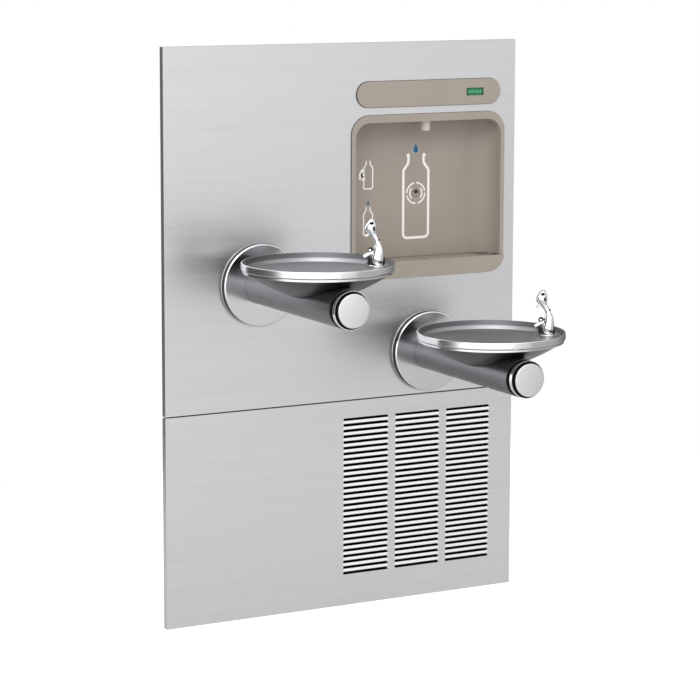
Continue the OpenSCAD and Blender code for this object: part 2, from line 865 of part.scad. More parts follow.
module fill_valve() {
    z = recess_top + mould_t;
    mid = z + shank_l + bend_r - mould_t;
    color("ivory") translate([right_x - valve_left, nozzle_y, 0]) {
        block([-valve_w / 2, -valve_d / 2 + bend_r / 2, z],
              [valve_w / 2, valve_d / 2 + bend_r / 2, z + valve_h]);
        translate([0, bend_r / 2, z + valve_h]) cylinder(r = coil_r, h = coil_h);
        translate([0, bend_r / 2, z + valve_h + coil_h]) cylinder(r = coil_r / 2, h = cap_h);
        translate([-valve_w / 2 - stub_l, 0, mid]) rotate([0, 90, 0])
            difference() {
                cylinder(r = pipe_r + pipe_t, h = stub_l + overrun);
                translate([0, 0, -overrun]) cylinder(r = pipe_r - pipe_t, h = stub_l + overrun);
            }
    }
}

module fill_tube() {
    low = recess_top + shank_l;
    mid = low + bend_r;
    run = valve_left - valve_w / 2 - bend_r;
    color("peru") translate([right_x, nozzle_y, 0]) {
        translate([-bend_r, 0, low]) rotate([90, 0, 0]) rotate_extrude(angle = 90)
            translate([bend_r, 0]) difference() {
                circle(pipe_r);
                circle(pipe_r - pipe_t);
            }
        translate([-bend_r - run, 0, mid]) rotate([0, 90, 0]) difference() {
            cylinder(r = pipe_r, h = run);
            translate([0, 0, -overrun]) cylinder(r = pipe_r - pipe_t, h = run + 2 * overrun);
        }
    }
}

// Arms
module cover_plate() {
    r = cover_d / 2;
    hole = arm_r + slip;
    rim = [for (i = [0 : edge_steps]) let (a = 90 * i / edge_steps)
        [r - cover_round + cover_round * cos(a), cover_depth - cover_round + cover_round * sin(a)]];
    inner = cover_round - cover_t;
    rim_in = [for (i = [edge_steps : -1 : 0]) let (a = 90 * i / edge_steps)
        [r - cover_round + inner * cos(a), cover_depth - cover_round + inner * sin(a)]];
    color("silver") rotate([90, 0, 0]) rotate_extrude()
        polygon(concat([[r, 0]], rim, [[hole, cover_depth], [hole, cover_depth - cover_t]], rim_in,
                       [[r - cover_t, 0]]));
}

module bolt_places() {
    for (i = [0 : arm_bolts_n - 1])
        rotate([0, 45 + 360 * i / arm_bolts_n, 0]) translate([arm_pcd / 2, 0, 0]) children();
}

module arm() {
    color("darkgray") difference() {
        union() {
            outward(arm_r, -root_in, arm_l);
            outward(flange_d / 2, -root_in, -root_in + flange_t);
        }
        outward(arm_r - arm_t, -root_in - overrun, arm_l + overrun);
        bolt_places() outward(arm_bolt_r + drill, -root_in - overrun, overrun);
        at_basin() skirt_body(slip, 0);
    }
}

module arm_plate(x0, x1) {
    // drawn in the fountain's place, between two tubes of the frame
    color("slategray") difference() {
        block([x0, root_in, -plate_h / 2], [x1, return_d, plate_h / 2]);
        outward(plate_hole_share * arm_r, -return_d - overrun, overrun);
        bolt_places() outward(arm_bolt_r + drill, -return_d - overrun, overrun);
    }
}

module hex_head(h, r) {
    rotate([90, 0, 0]) cylinder(r = r, h = h, $fn = 6);
}

module arm_bolt_set() {
    bolt_places() {
        translate([0, root_in - flange_t, 0]) hex_head(bolt_head_h, bolt_head_r);
        outward(arm_bolt_r, -return_d - nut_h - overrun, -root_in + flange_t + overrun);
        translate([0, return_d + nut_h, 0]) hex_head(nut_h, bolt_head_r);
    }
}

module arm_bolts() {
    color("dimgray") {
        at_left() arm_bolt_set();
        at_right() arm_bolt_set();
    }
}

// Basin: a spun bowl with a rolled rim, a deck for the bubbler and a skirt below
function rim_points() =
    let (o = basin_r - edge_r)
    concat([for (i = [0 : edge_steps]) let (a = -90 + 90 * i / edge_steps)
                [o + edge_r * cos(a), -band_h + edge_r + edge_r * sin(a)]],
           [for (i = [0 : edge_steps]) let (a = 90 * i / edge_steps)
                [o + edge_r * cos(a), -edge_r + edge_r * sin(a)]]);

module basin_cavity() {
    // space inside the bowl, up to the rim
    rotate_extrude() polygon([[0, -basin_depth], [strainer_r + slip, -basin_depth],
        [wall_foot_r, -inner_wall_h], [basin_r - rim_t, 0], [basin_r - rim_t, overrun], [0, overrun]]);
}

module basin_shell() {
    wall_top_r = wall_foot_r + basin_t + wall_draft * (inner_wall_h - band_h) / inner_wall_h;
    seat_r = strainer_r + slip;
    rotate_extrude() polygon(concat(
        [[drain_hole_r, -basin_depth - basin_t], [seat_r + basin_t, -basin_depth - basin_t]],
        [[wall_foot_r, -inner_wall_h - basin_t], [wall_foot_r + basin_t, -inner_wall_h],
         [wall_top_r, -band_h], [basin_r - edge_r, -band_h]],
        rim_points(),
        [[basin_r - rim_t, 0], [wall_foot_r, -inner_wall_h], [seat_r, -basin_depth],
         [drain_hole_r, -basin_depth]]));
}

module deck_side(reach, top) {
    rotate([0, 0, -deck_turn]) block([reach, -basin_r, -basin_depth], [basin_r, basin_r, top]);
}

module basin() {
    color("darkgray") at_basin() difference() {
        union() {
            basin_shell();
            intersection() {
                basin_cavity();
                difference() {
                    deck_side(deck_reach, -deck_drop);
                    deck_side(deck_reach + basin_t, -deck_drop - basin_t);
                }
            }
        }
        rotate([0, 0, -bubbler_turn]) translate([bubbler_reach, 0, 0]) {
            translate([0, 0, -deck_drop - 2 * basin_t])
                cylinder(r = shank_out_r + drill, h = 3 * basin_t);
            translate([0, 0, -basin_depth]) cylinder(r = cut_r, h = basin_depth - deck_drop - 2 * basin_t);
        }
    }
}

// Outer body of the skirt, grown outwards and downwards, or hollowed by a rise
module skirt_body(grow, rise) {
    cone = arc_points([skirt_base_r + grow, -skirt_depth - grow], [skirt_top_r + grow, -skirt_top - grow],
                      skirt_bulge, cone_steps);
    translate([0, 0, rise]) rotate_extrude()
        polygon(concat([[0, -skirt_depth - grow]], cone, [[skirt_top_r + grow, 0], [0, 0]]));
}

module skirt() {
    color("gray") at_basin() difference() {
        union() {
            intersection() {
                skirt_body(0, 0);
                translate([0, 0, -skirt_depth - overrun])
                    cylinder(r = basin_r, h = skirt_depth - band_h - groove_h + overrun);
            }
            translate([0, 0, -skirt_top]) cylinder(r = lip_r, h = lip_h);
            translate([0, 0, -band_h - groove_h]) cylinder(r = lip_r - groove_in, h = groove_h);
        }
        skirt_body(-basin_t / 2, basin_t);
        translate([0, 0, -skirt_depth - overrun]) cylinder(r = tail_r + slip, h = basin_t + 2 * overrun);
        translate([0, -tube_hole, -skirt_depth - overrun])
            cylinder(r = tube_r + 2 * drill, h = basin_t + 2 * overrun);
    }
}

module strainer() {
    color("silver") at_basin() translate([0, 0, -basin_depth]) difference() {
        union() {
            cylinder(r = strainer_r, h = strainer_t);
            translate([0, 0, -tail_l]) cylinder(r = tail_r, h = tail_l + strainer_t / 2);
        }
        translate([0, 0, -tail_l - overrun]) cylinder(r = waste_r + fit, h = tail_l + overrun);
        for (i = [0 : grate_n - 1]) rotate([0, 0, 360 * i / grate_n])
            for (ring = grate_shares)
                translate([ring * (grate_ring_r - grate_hole_r), 0, -overrun])
                    cylinder(r = ring * grate_hole_r, h = strainer_t + 2 * overrun, $fn = 24);
    }
}

module waste() {
    // from inside the strainer's tail, round a bend and back along the arm
    top = rim_up - basin_depth - tail_l / 3;
    low = waste_bend - waste_low;
    end = basin_out + return_d + tube + waste_out;
    color("dimgray") translate([basin_side, -basin_out, 0]) {
        translate([0, 0, low]) difference() {
            cylinder(r = waste_r, h = top - low);
            translate([0, 0, -overrun]) cylinder(r = waste_r - waste_t, h = top - low + 2 * overrun);
        }
        translate([0, waste_bend, low]) rotate([0, 0, -90]) rotate([-90, 0, 0]) rotate_extrude(angle = 90)
            translate([waste_bend, 0]) difference() {
                circle(waste_r);
                circle(waste_r - waste_t);
            }
        translate([0, waste_bend, -waste_low]) rotate([-90, 0, 0]) difference() {
            union() {
                cylinder(r = waste_r, h = end - waste_bend);
                translate([0, 0, end - waste_bend - spigot_l - collar_l])
                    cylinder(r = waste_r + collar_t, h = collar_l);
            }
            translate([0, 0, -overrun])
                cylinder(r = waste_r - waste_t, h = end - waste_bend + 2 * overrun);
        }
    }
}

// Bubbler: foot, spout and mouth guard, in a frame whose X points at the basin's middle
module guard_body() {
    front = concat(guard_front_shares, [for (i = [len(guard_front_shares) - 1 : -1 : 0])
        [-guard_front_shares[i][0], guard_front_shares[i][1]]]);
    w = foot_r;
    intersection() {
        translate([0, w, 0]) rotate([90, 0, 0]) linear_extrude(2 * w)
            polygon(guard_h * guard_side_shares);
        translate([-guard_h, 0, 0]) rotate([90, 0, 90]) linear_extrude(2 * guard_h)
            polygon(guard_h * front);
    }
}

module boot_body(grow) {
    translate([0, 0, foot_t - grow]) linear_extrude(boot_h + 2 * grow) translate([boot_shift, 0]) {
        for (x = [0, boot_span]) translate([x, 0]) circle(boot_r + grow);
        translate([0, -boot_r - grow]) square([boot_span, 2 * (boot_r + grow)]);
    }
}

module bubbler() {
    tip = guard_h * spout_end_share;
    root = guard_h * spout_root_share;
    tilt = atan2(tip[1] - root[1], tip[0] - root[0]);
    color("whitesmoke") at_bubbler() difference() {
        union() {
            cylinder(r = foot_r, h = foot_t);
            translate([0, 0, -shank_down]) cylinder(r = shank_out_r, h = shank_down + foot_t / 2);
            guard_body();
            translate([root[0], 0, root[1]]) rotate([0, 90 - tilt, 0])
                cylinder(r = spout_tube_r, h = norm(tip - root));
            translate([guard_h * bead_share[0], 0, guard_h * bead_share[1]]) sphere(bead_r, $fn = 24);
        }
        boot_body(fit);
        translate([tip[0], 0, tip[1]]) rotate([0, 90 - tilt, 0]) translate([0, 0, -spout_tube_r])
            cylinder(r = jet_r, h = 2 * spout_tube_r);
        translate([0, 0, -shank_down - overrun]) cylinder(r = tube_r, h = shank_down + overrun);
    }
}

module boot() {
    color("black") at_bubbler() difference() {
        boot_body(0);
        cylinder(r = tube_r, h = foot_t + boot_h / 2);
    }
}

// Route of the bubbler's tube from the push valve, through the skirt's bottom and up its cone
module bubbler_tube() {
    low = rim_up - skirt_depth;
    end = rim_up - deck_drop - shank_down;
    hole = [basin_side, -basin_out - tube_hole];
    valve_back = valve_l - valve_front;
    slope = (basin_depth - inner_wall_h) / (wall_foot_r - strainer_r);
    function on_ray(r, z) =
        [basin_side + r * cos(bubbler_turn), -basin_out - r * sin(bubbler_turn), z];
    function below_bowl(r) =
        on_ray(r, rim_up - basin_depth - basin_t - 2 * tube_r + slope * (r - strainer_r));
    path = [[hole[0], valve_back, 0],
            [hole[0], valve_back + 4 * tube_r, 0],
            [hole[0], hole[1] - 4 * tube_r, low - 2 * tube_r],
            [hole[0], hole[1], low - tube_r],
            [hole[0], hole[1], low + basin_t + 2 * tube_r],
            below_bowl(tube_hole + 5 * tube_r),
            below_bowl(bubbler_reach - 4 * tube_r),
            on_ray(bubbler_reach, end - tube_r),
            on_ray(bubbler_reach, end)];
    color("white") swept_tube(path, tube_r, tube_sides);
}

// Push button, its ring, spring and valve at the arm's front end
module ring() {
    color("silver") difference() {
        union() {
            outward(arm_r - arm_t - fit, arm_l - sleeve_l, arm_l);
            outward(neck_r, arm_l - overrun, ring_back + overrun);
            outward(ring_r, ring_back, ring_front);
        }
        outward(button_r + slip, arm_l - sleeve_l / 2, ring_front + overrun);
        outward(valve_r + fit, arm_l - sleeve_l - overrun, arm_l);
    }
}

module button() {
    back = button_front - cap_t - button_t;
    stem_tip = valve_front + boss_l - stem_deep;
    color("black") difference() {
        union() {
            outward(button_r, back, button_front - cap_t);
            outward(stem_r, stem_tip, back + button_t / 2);
        }
        difference() {
            outward(pocket_r, back - overrun, button_front - cap_t - 2 * cap_t);
            outward(stem_r, stem_tip - overrun, button_front);
        }
    }
}

module button_cap() {
    o = button_r - cap_round;
    edge = [for (i = [0 : edge_steps]) let (a = 90 * i / edge_steps)
        [o + cap_round * cos(a), cap_t - cap_round + cap_round * sin(a)]];
    color("gainsboro") translate([0, -button_front + cap_t, 0]) rotate([90, 0, 0]) rotate_extrude()
        polygon(concat([[0, 0], [button_r, 0]], edge, [[0, cap_t]]));
}

module push_valve() {
    end = -return_d - tube - waste_out;
    color("goldenrod") difference() {
        union() {
            outward(valve_r, valve_front - valve_l, valve_front);
            outward(boss_r, valve_front - overrun, valve_front + boss_l);
            translate([supply_x, 0, supply_z]) {
                outward(pipe_r, end, valve_front - valve_l + overrun);
                outward(pipe_r + collar_t, end + spigot_l, end + spigot_l + collar_l);
            }
        }
        outward(stem_r + fit, valve_front - valve_l / 2, valve_front + boss_l + overrun);
        translate([supply_x, 0, supply_z])
            outward(pipe_r - pipe_t, end - overrun, valve_front - valve_l);
    }
}

module spring() {
    // from the valve's front to the inside of the button's cap
    back = valve_front + spring_wire;
    front = button_front - 3 * cap_t - spring_wire;
    n = spring_turns * spring_steps;
    path = [for (i = [0 : n]) let (a = 360 * i / spring_steps)
        [spring_r * cos(a), -(back + (front - back) * i / n), spring_r * sin(a)]];
    color("gray") swept_tube(path, spring_wire, 6);
}

// Chiller behind the louvres
module chiller_shelf() {
    color("lightsteelblue") {
        block([shelf_left, shelf_y0, shelf_z], [shelf_right, shelf_y1, deck_z]);
        block([shelf_left, shelf_y1 - shelf_t, shelf_z], [shelf_right, shelf_y1, deck_z + shelf_lip]);
        for (x = [shelf_left, shelf_right - shelf_t])
            block([x, shelf_y0, shelf_z], [x + shelf_t, shelf_y1, deck_z + shelf_lip]);
    }
}

module compressor() {
    body = compressor_h - compressor_foot_h - compressor_r / 2;
    color("dimgray") translate([compressor_x, compressor_y, deck_z]) {
        for (i = [0 : 2]) rotate([0, 0, 120 * i]) translate([compressor_foot_share * compressor_r, 0, 0])
            cylinder(r = compressor_foot_r, h = compressor_foot_h + overrun);
        translate([0, 0, compressor_foot_h]) cylinder(r = compressor_r, h = body);
        translate([0, 0, compressor_foot_h + body]) intersection() {
            sphere(compressor_r);
            cylinder(r = compressor_r, h = compressor_r / 2);
        }
    }
}

module condenser() {
    x0 = condenser_x - condenser_w / 2;
    step = (condenser_w - 2 * end_t) / condenser_fins;
    color("silver") {
        for (x = [x0, x0 + condenser_w - end_t])
            block([x, condenser_y, deck_z], [x + end_t, condenser_y + condenser_d, deck_z + condenser_h]);
        for (i = [1 : condenser_fins - 1])
            translate([x0 + end_t + i * step, 0, deck_z])
                block([-fin_t / 2, condenser_y, end_t],
                      [fin_t / 2, condenser_y + condenser_d, condenser_h - end_t]);
        for (k = [0 : coil_rows - 1])
            translate([x0, condenser_y + condenser_d / 2, deck_z + condenser_h * (k + 0.5) / coil_rows])
                rotate([0, 90, 0]) cylinder(r = coil_tube_r, h = condenser_w);
    }
}

module fan_shroud() {
    y0 = condenser_y + condenser_d;
    y1 = y0 + shroud_t + duct_l;
    color("darkslategray") difference() {
        union() {
            block([condenser_x - condenser_w / 2, y0, deck_z],
                  [condenser_x + condenser_w / 2, y0 + shroud_t, deck_z + condenser_h]);
            translate([condenser_x, y1, fan_z]) outward(fan_r + 3 * shroud_t, 0, duct_l + shroud_t / 2);
        }
        translate([condenser_x, y1, fan_z]) difference() {
            outward(fan_r + 2 * shroud_t, -overrun, duct_l + 2 * shroud_t);
            for (a = [0, 90]) rotate([0, a + 45, 0])
                block([-fan_r - 3 * shroud_t, -shroud_t, -spider_w / 2],
                      [fan_r + 3 * shroud_t, 0, spider_w / 2]);
        }
        translate([condenser_x, y1, fan_z]) outward(shaft_r + slip + fit, -overrun, shroud_t + overrun);
    }
}

module fan_motor() {
    y1 = condenser_y + condenser_d + shroud_t + duct_l;
    color("dimgray") translate([condenser_x, y1 + motor_l, fan_z]) difference() {
        union() {
            outward(motor_r, 0, motor_l);
            outward(motor_r / 2, -motor_l / 6, overrun);
        }
        outward(shaft_r + fit, motor_l / 2, motor_l + overrun);
    }
}

module fan() {
    color("lightgray") translate([condenser_x, fan_y + fan_l, fan_z]) {
        outward(hub_r, 0, fan_l);
        outward(shaft_r, fan_l - shaft_l - overrun, fan_l / 2);
        intersection() {
            outward(fan_r, 0, fan_l);
            for (i = [0 : fan_blades - 1]) rotate([0, 360 * i / fan_blades, 0])
                translate([hub_r / 2, -fan_l / 2, 0]) rotate([blade_pitch, 0, 0])
                    translate([0, -blade_t / 2, -hub_r]) cube([fan_r, blade_t, 2 * hub_r]);
        }
    }
}

module cooling_tank() {
    color("ivory") translate([tank_x, tank_y, deck_z]) difference() {
        cylinder(r = tank_r, h = tank_h);
        translate([0, 0, tank_t]) cylinder(r = tank_r - tank_t, h = tank_h - 2 * tank_t);
        for (s = [-1, 1]) translate([s * tank_r / 2, 0, tank_h - tank_t - overrun])
            cylinder(r = pipe_r, h = tank_t + 2 * overrun);
    }
}

module filter_head() {
    top = seam_z + tube / 2 - head_drop;
    color("ivory") translate([filter_x, filter_y, top - head_h]) difference() {
        union() {
            cylinder(r = head_share * filter_r, h = head_h);
            for (s = [-1, 1]) translate([0, 0, port_share * head_h]) rotate([0, 90 * s, 0])
                cylinder(r = pipe_r + pipe_t, h = head_share * filter_r + port_l);
            block([-filter_r / 2, -filter_y, head_h / 2], [filter_r / 2, 0, head_h / 2 + 2 * bracket_t]);
            block([-filter_r / 2, -filter_y, head_h / 2],
                  [filter_r / 2, -filter_y + bracket_t, head_h + head_drop]);
        }
        translate([0, 0, -overrun]) cylinder(r = neck_filter_r + fit, h = neck_filter_l + 2 * overrun);
        for (s = [-1, 1]) translate([0, 0, port_share * head_h]) rotate([0, 90 * s, 0])
            translate([0, 0, filter_r / 2]) cylinder(r = pipe_r - pipe_t, h = filter_r + port_l);
    }
}

module filter_cartridge() {
    top = seam_z + tube / 2 - head_drop - head_h;
    color("royalblue") translate([filter_x, filter_y, top - slip - filter_l]) {
        translate([0, 0, filter_round]) cylinder(r = filter_r, h = filter_l - 2 * filter_round);
        cylinder(r1 = filter_r - filter_round, r2 = filter_r, h = filter_round);
        translate([0, 0, filter_l - filter_round])
            cylinder(r1 = filter_r, r2 = filter_r - filter_round, h = filter_round);
        translate([0, 0, filter_l - overrun]) cylinder(r = neck_filter_r, h = neck_filter_l + overrun);
    }
}

// Nodes of the two fountains
module left_cover_plate() at_left() cover_plate();
module left_arm() at_left() arm();
module left_arm_plate() at_left() arm_plate(-frame_w / 2 - left_x, post_x + tube / 2 - left_x);
module left_basin() at_left() basin();
module left_skirt() at_left() skirt();
module left_strainer() at_left() strainer();
module left_waste() at_left() waste();
module left_bubbler() at_left() bubbler();
module left_boot() at_left() boot();
module left_ring() at_left() ring();
module left_button() at_left() button();
module left_button_cap() at_left() button_cap();
module left_spring() at_left() spring();
module left_push_valve() at_left() push_valve();
module left_bubbler_tube() at_left() bubbler_tube();

module right_cover_plate() at_right() cover_plate();
module right_arm() at_right() arm();
module right_arm_plate() at_right() arm_plate(post_x - tube / 2 - right_x, frame_w / 2 - right_x);
module right_basin() at_right() basin();
module right_skirt() at_right() skirt();
module right_strainer() at_right() strainer();
module right_waste() at_right() waste();
module right_bubbler() at_right() bubbler();
module right_boot() at_right() boot();
module right_ring() at_right() ring();
module right_button() at_right() button();
module right_button_cap() at_right() button_cap();
module right_spring() at_right() spring();
module right_push_valve() at_right() push_valve();
module right_bubbler_tube() at_right() bubbler_tube();

upper_panel();
lower_panel();
display_bar();
display_window();
display_board();
alcove_housing();
drip_tray();
fill_nozzle();
sensor_window();
sensor_module();
fill_valve();
fill_tube();
alcove_drain();
frame_left();
frame_right();
frame_post();
frame_top();
frame_bottom();
frame_seam_rail();
panel_screws();
arm_bolts();
chiller_shelf();
compressor();
condenser();
fan_shroud();
fan_motor();
fan();
cooling_tank();
filter_head();
filter_cartridge();
left_cover_plate();
left_arm();
left_arm_plate();
left_basin();
left_skirt();
left_strainer();
left_waste();
left_bubbler();
left_boot();
left_ring();
left_button();
left_button_cap();
left_spring();
left_push_valve();
left_bubbler_tube();
right_cover_plate();
right_arm();
right_arm_plate();
right_basin();
right_skirt();
right_strainer();
right_waste();
right_bubbler();
right_boot();
right_ring();
right_button();
right_button_cap();
right_spring();
right_push_valve();
right_bubbler_tube();
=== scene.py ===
"""Bottle filling station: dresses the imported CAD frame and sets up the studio."""
import json
import math

import bmesh
import bpy
from mathutils import Matrix, Vector


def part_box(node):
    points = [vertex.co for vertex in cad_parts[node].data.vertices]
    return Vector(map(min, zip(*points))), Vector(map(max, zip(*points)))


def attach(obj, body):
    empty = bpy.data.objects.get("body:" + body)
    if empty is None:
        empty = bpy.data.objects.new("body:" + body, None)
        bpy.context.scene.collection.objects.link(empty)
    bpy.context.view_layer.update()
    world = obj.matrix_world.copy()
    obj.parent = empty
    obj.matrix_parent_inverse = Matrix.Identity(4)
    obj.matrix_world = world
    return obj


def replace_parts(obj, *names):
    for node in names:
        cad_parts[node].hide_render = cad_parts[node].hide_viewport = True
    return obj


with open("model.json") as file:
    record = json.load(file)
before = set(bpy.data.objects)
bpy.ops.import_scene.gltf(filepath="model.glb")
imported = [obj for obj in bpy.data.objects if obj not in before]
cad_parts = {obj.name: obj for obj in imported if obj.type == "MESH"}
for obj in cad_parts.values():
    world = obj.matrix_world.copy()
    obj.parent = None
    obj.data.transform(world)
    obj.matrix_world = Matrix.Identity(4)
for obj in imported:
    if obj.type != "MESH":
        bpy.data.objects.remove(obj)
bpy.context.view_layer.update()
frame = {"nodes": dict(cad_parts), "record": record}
NODES = frame["nodes"]
MM = 0.001

# Sheet of the panels, wall of the alcove's moulding, and places that the CAD gives, in metres
SHEET, WALL_T = 1.5 * MM, 3 * MM
FACE_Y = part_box("upper_panel")[0].y
PANEL_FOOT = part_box("lower_panel")[0].z
RECESS_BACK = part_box("sensor_window")[1].y - WALL_T
SIDES = ("left", "right")

# Corners closer than these are one: in a CAD mesh, and in a mesh made here
CAD_MERGE, MERGE = 0.02 * MM, 0.001 * MM

# Angles of a CAD mesh, in degrees: two faces are flat below the first, an edge between them shades
# smooth below the second, and is rounded above the third where its node has a width for it
FLAT, SMOOTH_BELOW, ROUND_ABOVE = 0.5, 28, 35


# Camera
LENS_MM, SHIFT_UP = 130.8, -0.08
CAMERA_AT = (-2.864, -5.373, 0.969)
CAMERA_TURN, CAMERA_TILT, CAMERA_ROLL = -28.34, -8.31, 0.17


def set_camera():
    """The lens, place and turn solved from the corners of the photographed panel."""
    data = bpy.data.cameras.new("photo_camera")
    camera = bpy.data.objects.new("photo_camera", data)
    bpy.context.scene.collection.objects.link(camera)
    data.lens = LENS_MM
    data.shift_y = SHIFT_UP
    data.clip_end = 60
    turn = Matrix.Rotation(math.radians(CAMERA_TURN), 4, "Z")
    tilt = Matrix.Rotation(math.radians(90 + CAMERA_TILT), 4, "X")
    roll = Matrix.Rotation(math.radians(CAMERA_ROLL), 4, "Z")
    camera.matrix_world = Matrix.Translation(CAMERA_AT) @ turn @ tilt @ roll
    bpy.context.scene.camera = camera


set_camera()


# Finishes
def srgb(code):
    """A hex colour as linear RGBA."""
    parts = [int(code[i:i + 2], 16) / 255 for i in (1, 3, 5)]
    return [p / 12.92 if p <= 0.04045 else ((p + 0.055) / 1.055) ** 2.4 for p in parts] + [1.0]


def add(tree, kind, settings=None, **sockets):
    """Adds a node. Sockets get a value or a link; in0, in1 name a socket by its number."""
    made = tree.nodes.new(kind)
    for name, value in (settings or {}).items():
        setattr(made, name, value)
    for name, value in sockets.items():
        key = int(name[2:]) if name[:2] == "in" and name[2:].isdigit() else name.replace("_", " ")
        socket = made.inputs[key]
        if isinstance(value, bpy.types.NodeSocket):
            tree.links.new(value, socket)
        else:
            socket.default_value = value
    return made


def from_axis(tree, spot, centre, axis):
    """Distance from a lathe's axis, in metres."""
    away = add(tree, "ShaderNodeVectorMath", {"operation": "SUBTRACT"}, in0=spot, in1=tuple(centre))
    flat = tuple(float(i != axis) for i in range(3))
    away = add(tree, "ShaderNodeVectorMath", {"operation": "MULTIPLY"}, in0=away.outputs[0], in1=flat)
    return add(tree, "ShaderNodeVectorMath", {"operation": "LENGTH"}, in0=away.outputs[0]).outputs["Value"]


def finish(name, dark, light, rough, marks, cloud, depth_mm, turned=None, **sockets):
    """One layered finish. Clouds mix the two colours, and the tool's or mould's marks move the
    roughness and the relief; both are in waves a metre along X, Y and Z. Turned is a lathe's
    centre and axis: the marks are then rings round it."""
    made = bpy.data.materials.new(name)
    made.use_nodes = True
    tree = made.node_tree
    shader = tree.nodes["Principled BSDF"]
    for key, value in sockets.items():
        shader.inputs[key.replace("_", " ")].default_value = value
    spot = add(tree, "ShaderNodeTexCoord").outputs["Object"]
    spread = add(tree, "ShaderNodeMapping", Vector=spot, Scale=cloud)
    clouds = add(tree, "ShaderNodeTexNoise", Vector=spread.outputs[0], Scale=1.0, Detail=2.0, Roughness=0.55)
    if turned:
        lines = add(tree, "ShaderNodeTexNoise", {"noise_dimensions": "1D"}, W=from_axis(tree, spot, *turned),
                    Scale=marks, Detail=2.0, Roughness=0.6)
    else:
        close = add(tree, "ShaderNodeMapping", Vector=spot, Scale=marks)
        lines = add(tree, "ShaderNodeTexNoise", Vector=close.outputs[0], Scale=1.0, Detail=3.0, Roughness=0.6)
    colour = add(tree, "ShaderNodeMix", {"data_type": "RGBA"}, in0=clouds.outputs["Fac"], in6=srgb(dark),
                 in7=srgb(light))
    sheen = add(tree, "ShaderNodeMapRange", Value=lines.outputs["Fac"], From_Min=0.3, From_Max=0.7,
                To_Min=rough[0], To_Max=rough[1])
    relief = add(tree, "ShaderNodeBump", Height=lines.outputs["Fac"], Distance=depth_mm * MM, Strength=0.6)
    tree.links.new(colour.outputs[2], shader.inputs["Base Color"])
    tree.links.new(sheen.outputs[0], shader.inputs["Roughness"])
    tree.links.new(relief.outputs[0], shader.inputs["Normal"])
    return made


def zone(made, edges, code, rough, turned=None):
    """Gives a region of a finish its own colour and roughness. Each edge is (axis, start, end) in
    metres: up to start the finish stays, past end it has changed. R is the distance from the axis
    that turned gives."""
    tree = made.node_tree
    shader = tree.nodes["Principled BSDF"]
    spot = add(tree, "ShaderNodeTexCoord").outputs["Object"]
    split = add(tree, "ShaderNodeSeparateXYZ", Vector=spot)
    inside = 1.0
    for axis, start, end in edges:
        value = from_axis(tree, spot, *turned) if axis == "R" else split.outputs[axis]
        past = add(tree, "ShaderNodeMapRange", Value=value, From_Min=start, From_Max=end, To_Min=0.0,
                   To_Max=1.0)
        both = add(tree, "ShaderNodeMath", {"operation": "MULTIPLY"}, in0=inside, in1=past.outputs[0])
        inside = both.outputs[0]
    old_colour, old_rough = [shader.inputs[key].links[0].from_socket for key in ("Base Color", "Roughness")]
    colour = add(tree, "ShaderNodeMix", {"data_type": "RGBA"}, in0=inside, in6=old_colour, in7=srgb(code))
    sheen = add(tree, "ShaderNodeMix", {"data_type": "FLOAT"}, in0=inside, in2=old_rough, in3=rough)
    tree.links.new(colour.outputs[2], shader.inputs["Base Color"])
    tree.links.new(sheen.outputs[0], shader.inputs["Roughness"])


def edge(axis, zero, change):
    """One edge of a zone: change is its start and end, in millimetres from zero."""
    start, end = change
    return axis, zero + start * MM, zero + end * MM


def middle(node):
    """The middle of a CAD node's box."""
    low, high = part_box(node)
    return (low + high) / 2


def arm_centre(side):
    """A place on the arm's axis, which runs along Y."""
    return middle(f"{side}_cover_plate")


def basin_centre(side):
    """A place on the basin's axis, which runs along Z."""
    return middle(f"{side}_strainer")


def rim_height(side):
    """The height of a basin's rim."""
    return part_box(f"{side}_basin")[1].z


# Marks as waves a metre, worked out from their real widths
HAIRLINE = (5.0, 900.0, 900.0)     # belt grit leaves lines 0.1 mm apart; 1 mm here, so that a few show
LATHE_RING = 1200.0                # feed marks 0.2 mm apart; 0.8 mm here for the same reason
SPARK = (1600.0,) * 3              # mould texture of about 0.6 mm
PEEL = (500.0,) * 3                # orange peel of powder and enamel, about 2 mm
POLISH = (60.0,) * 3               # long soft waves left by a polishing wheel
SCREEN = (2500.0,) * 3             # print screen of 0.4 mm
GRAIN = (900.0,) * 3               # rubber's mould grain of about 1 mm
DRAWN = (90.0,) * 3                # soft waves of 11 mm that drawing and plating leave
SPANGLE = (40.0,) * 3              # zinc crystals some 25 mm wide
TARNISH = (30.0,) * 3              # patches of 33 mm
SCOUR = (200.0,) * 3               # rubbed spots of 5 mm
ROLLER = (300.0,) * 3              # a paint roller's stipple of 3 mm
BELT_CLOUD = (1.5, 60.0, 60.0)     # streaks along the belt's way, 17 mm high
FIN_PITCH, FIN_CLOUD = (500.0, 3.0, 3.0), (250.0, 3.0, 3.0)  # fins 2 mm apart
GLASS_CLOUD = (25.0, 25.0, 40.0)   # unevenness of the lamp behind a display, over 25 to 40 mm
EVEN = (9.0,) * 3                  # slow drift of a colour over 100 mm

# Stainless sheet, number 4 belt finish: level hairlines stretch every reflection sideways
PANEL = finish("brushed_stainless_sheet", "#D2D2D4", "#DADADC", (0.27, 0.34), HAIRLINE, BELT_CLOUD, 0.008,
               Metallic=1.0)
# The same sheet, pressed smooth into lips between the slots, with its colour painted brighter than the
# panel's as a painted highlight
LIP_HIGHLIGHT_STEEL = finish("lip_steel_painted_highlight", "#F0F0F1", "#F7F7F8", (0.22, 0.30), HAIRLINE, EVEN, 0.005,
                   Metallic=1.0)
# Moulded ABS with a fine spark-eroded texture: matt, so the recess shades softly
TAUPE = finish("taupe_abs", "#9C9389", "#A79E94", (0.60, 0.72), SPARK, EVEN, 0.03, IOR=1.5,
               Specular_IOR_Level=0.3)
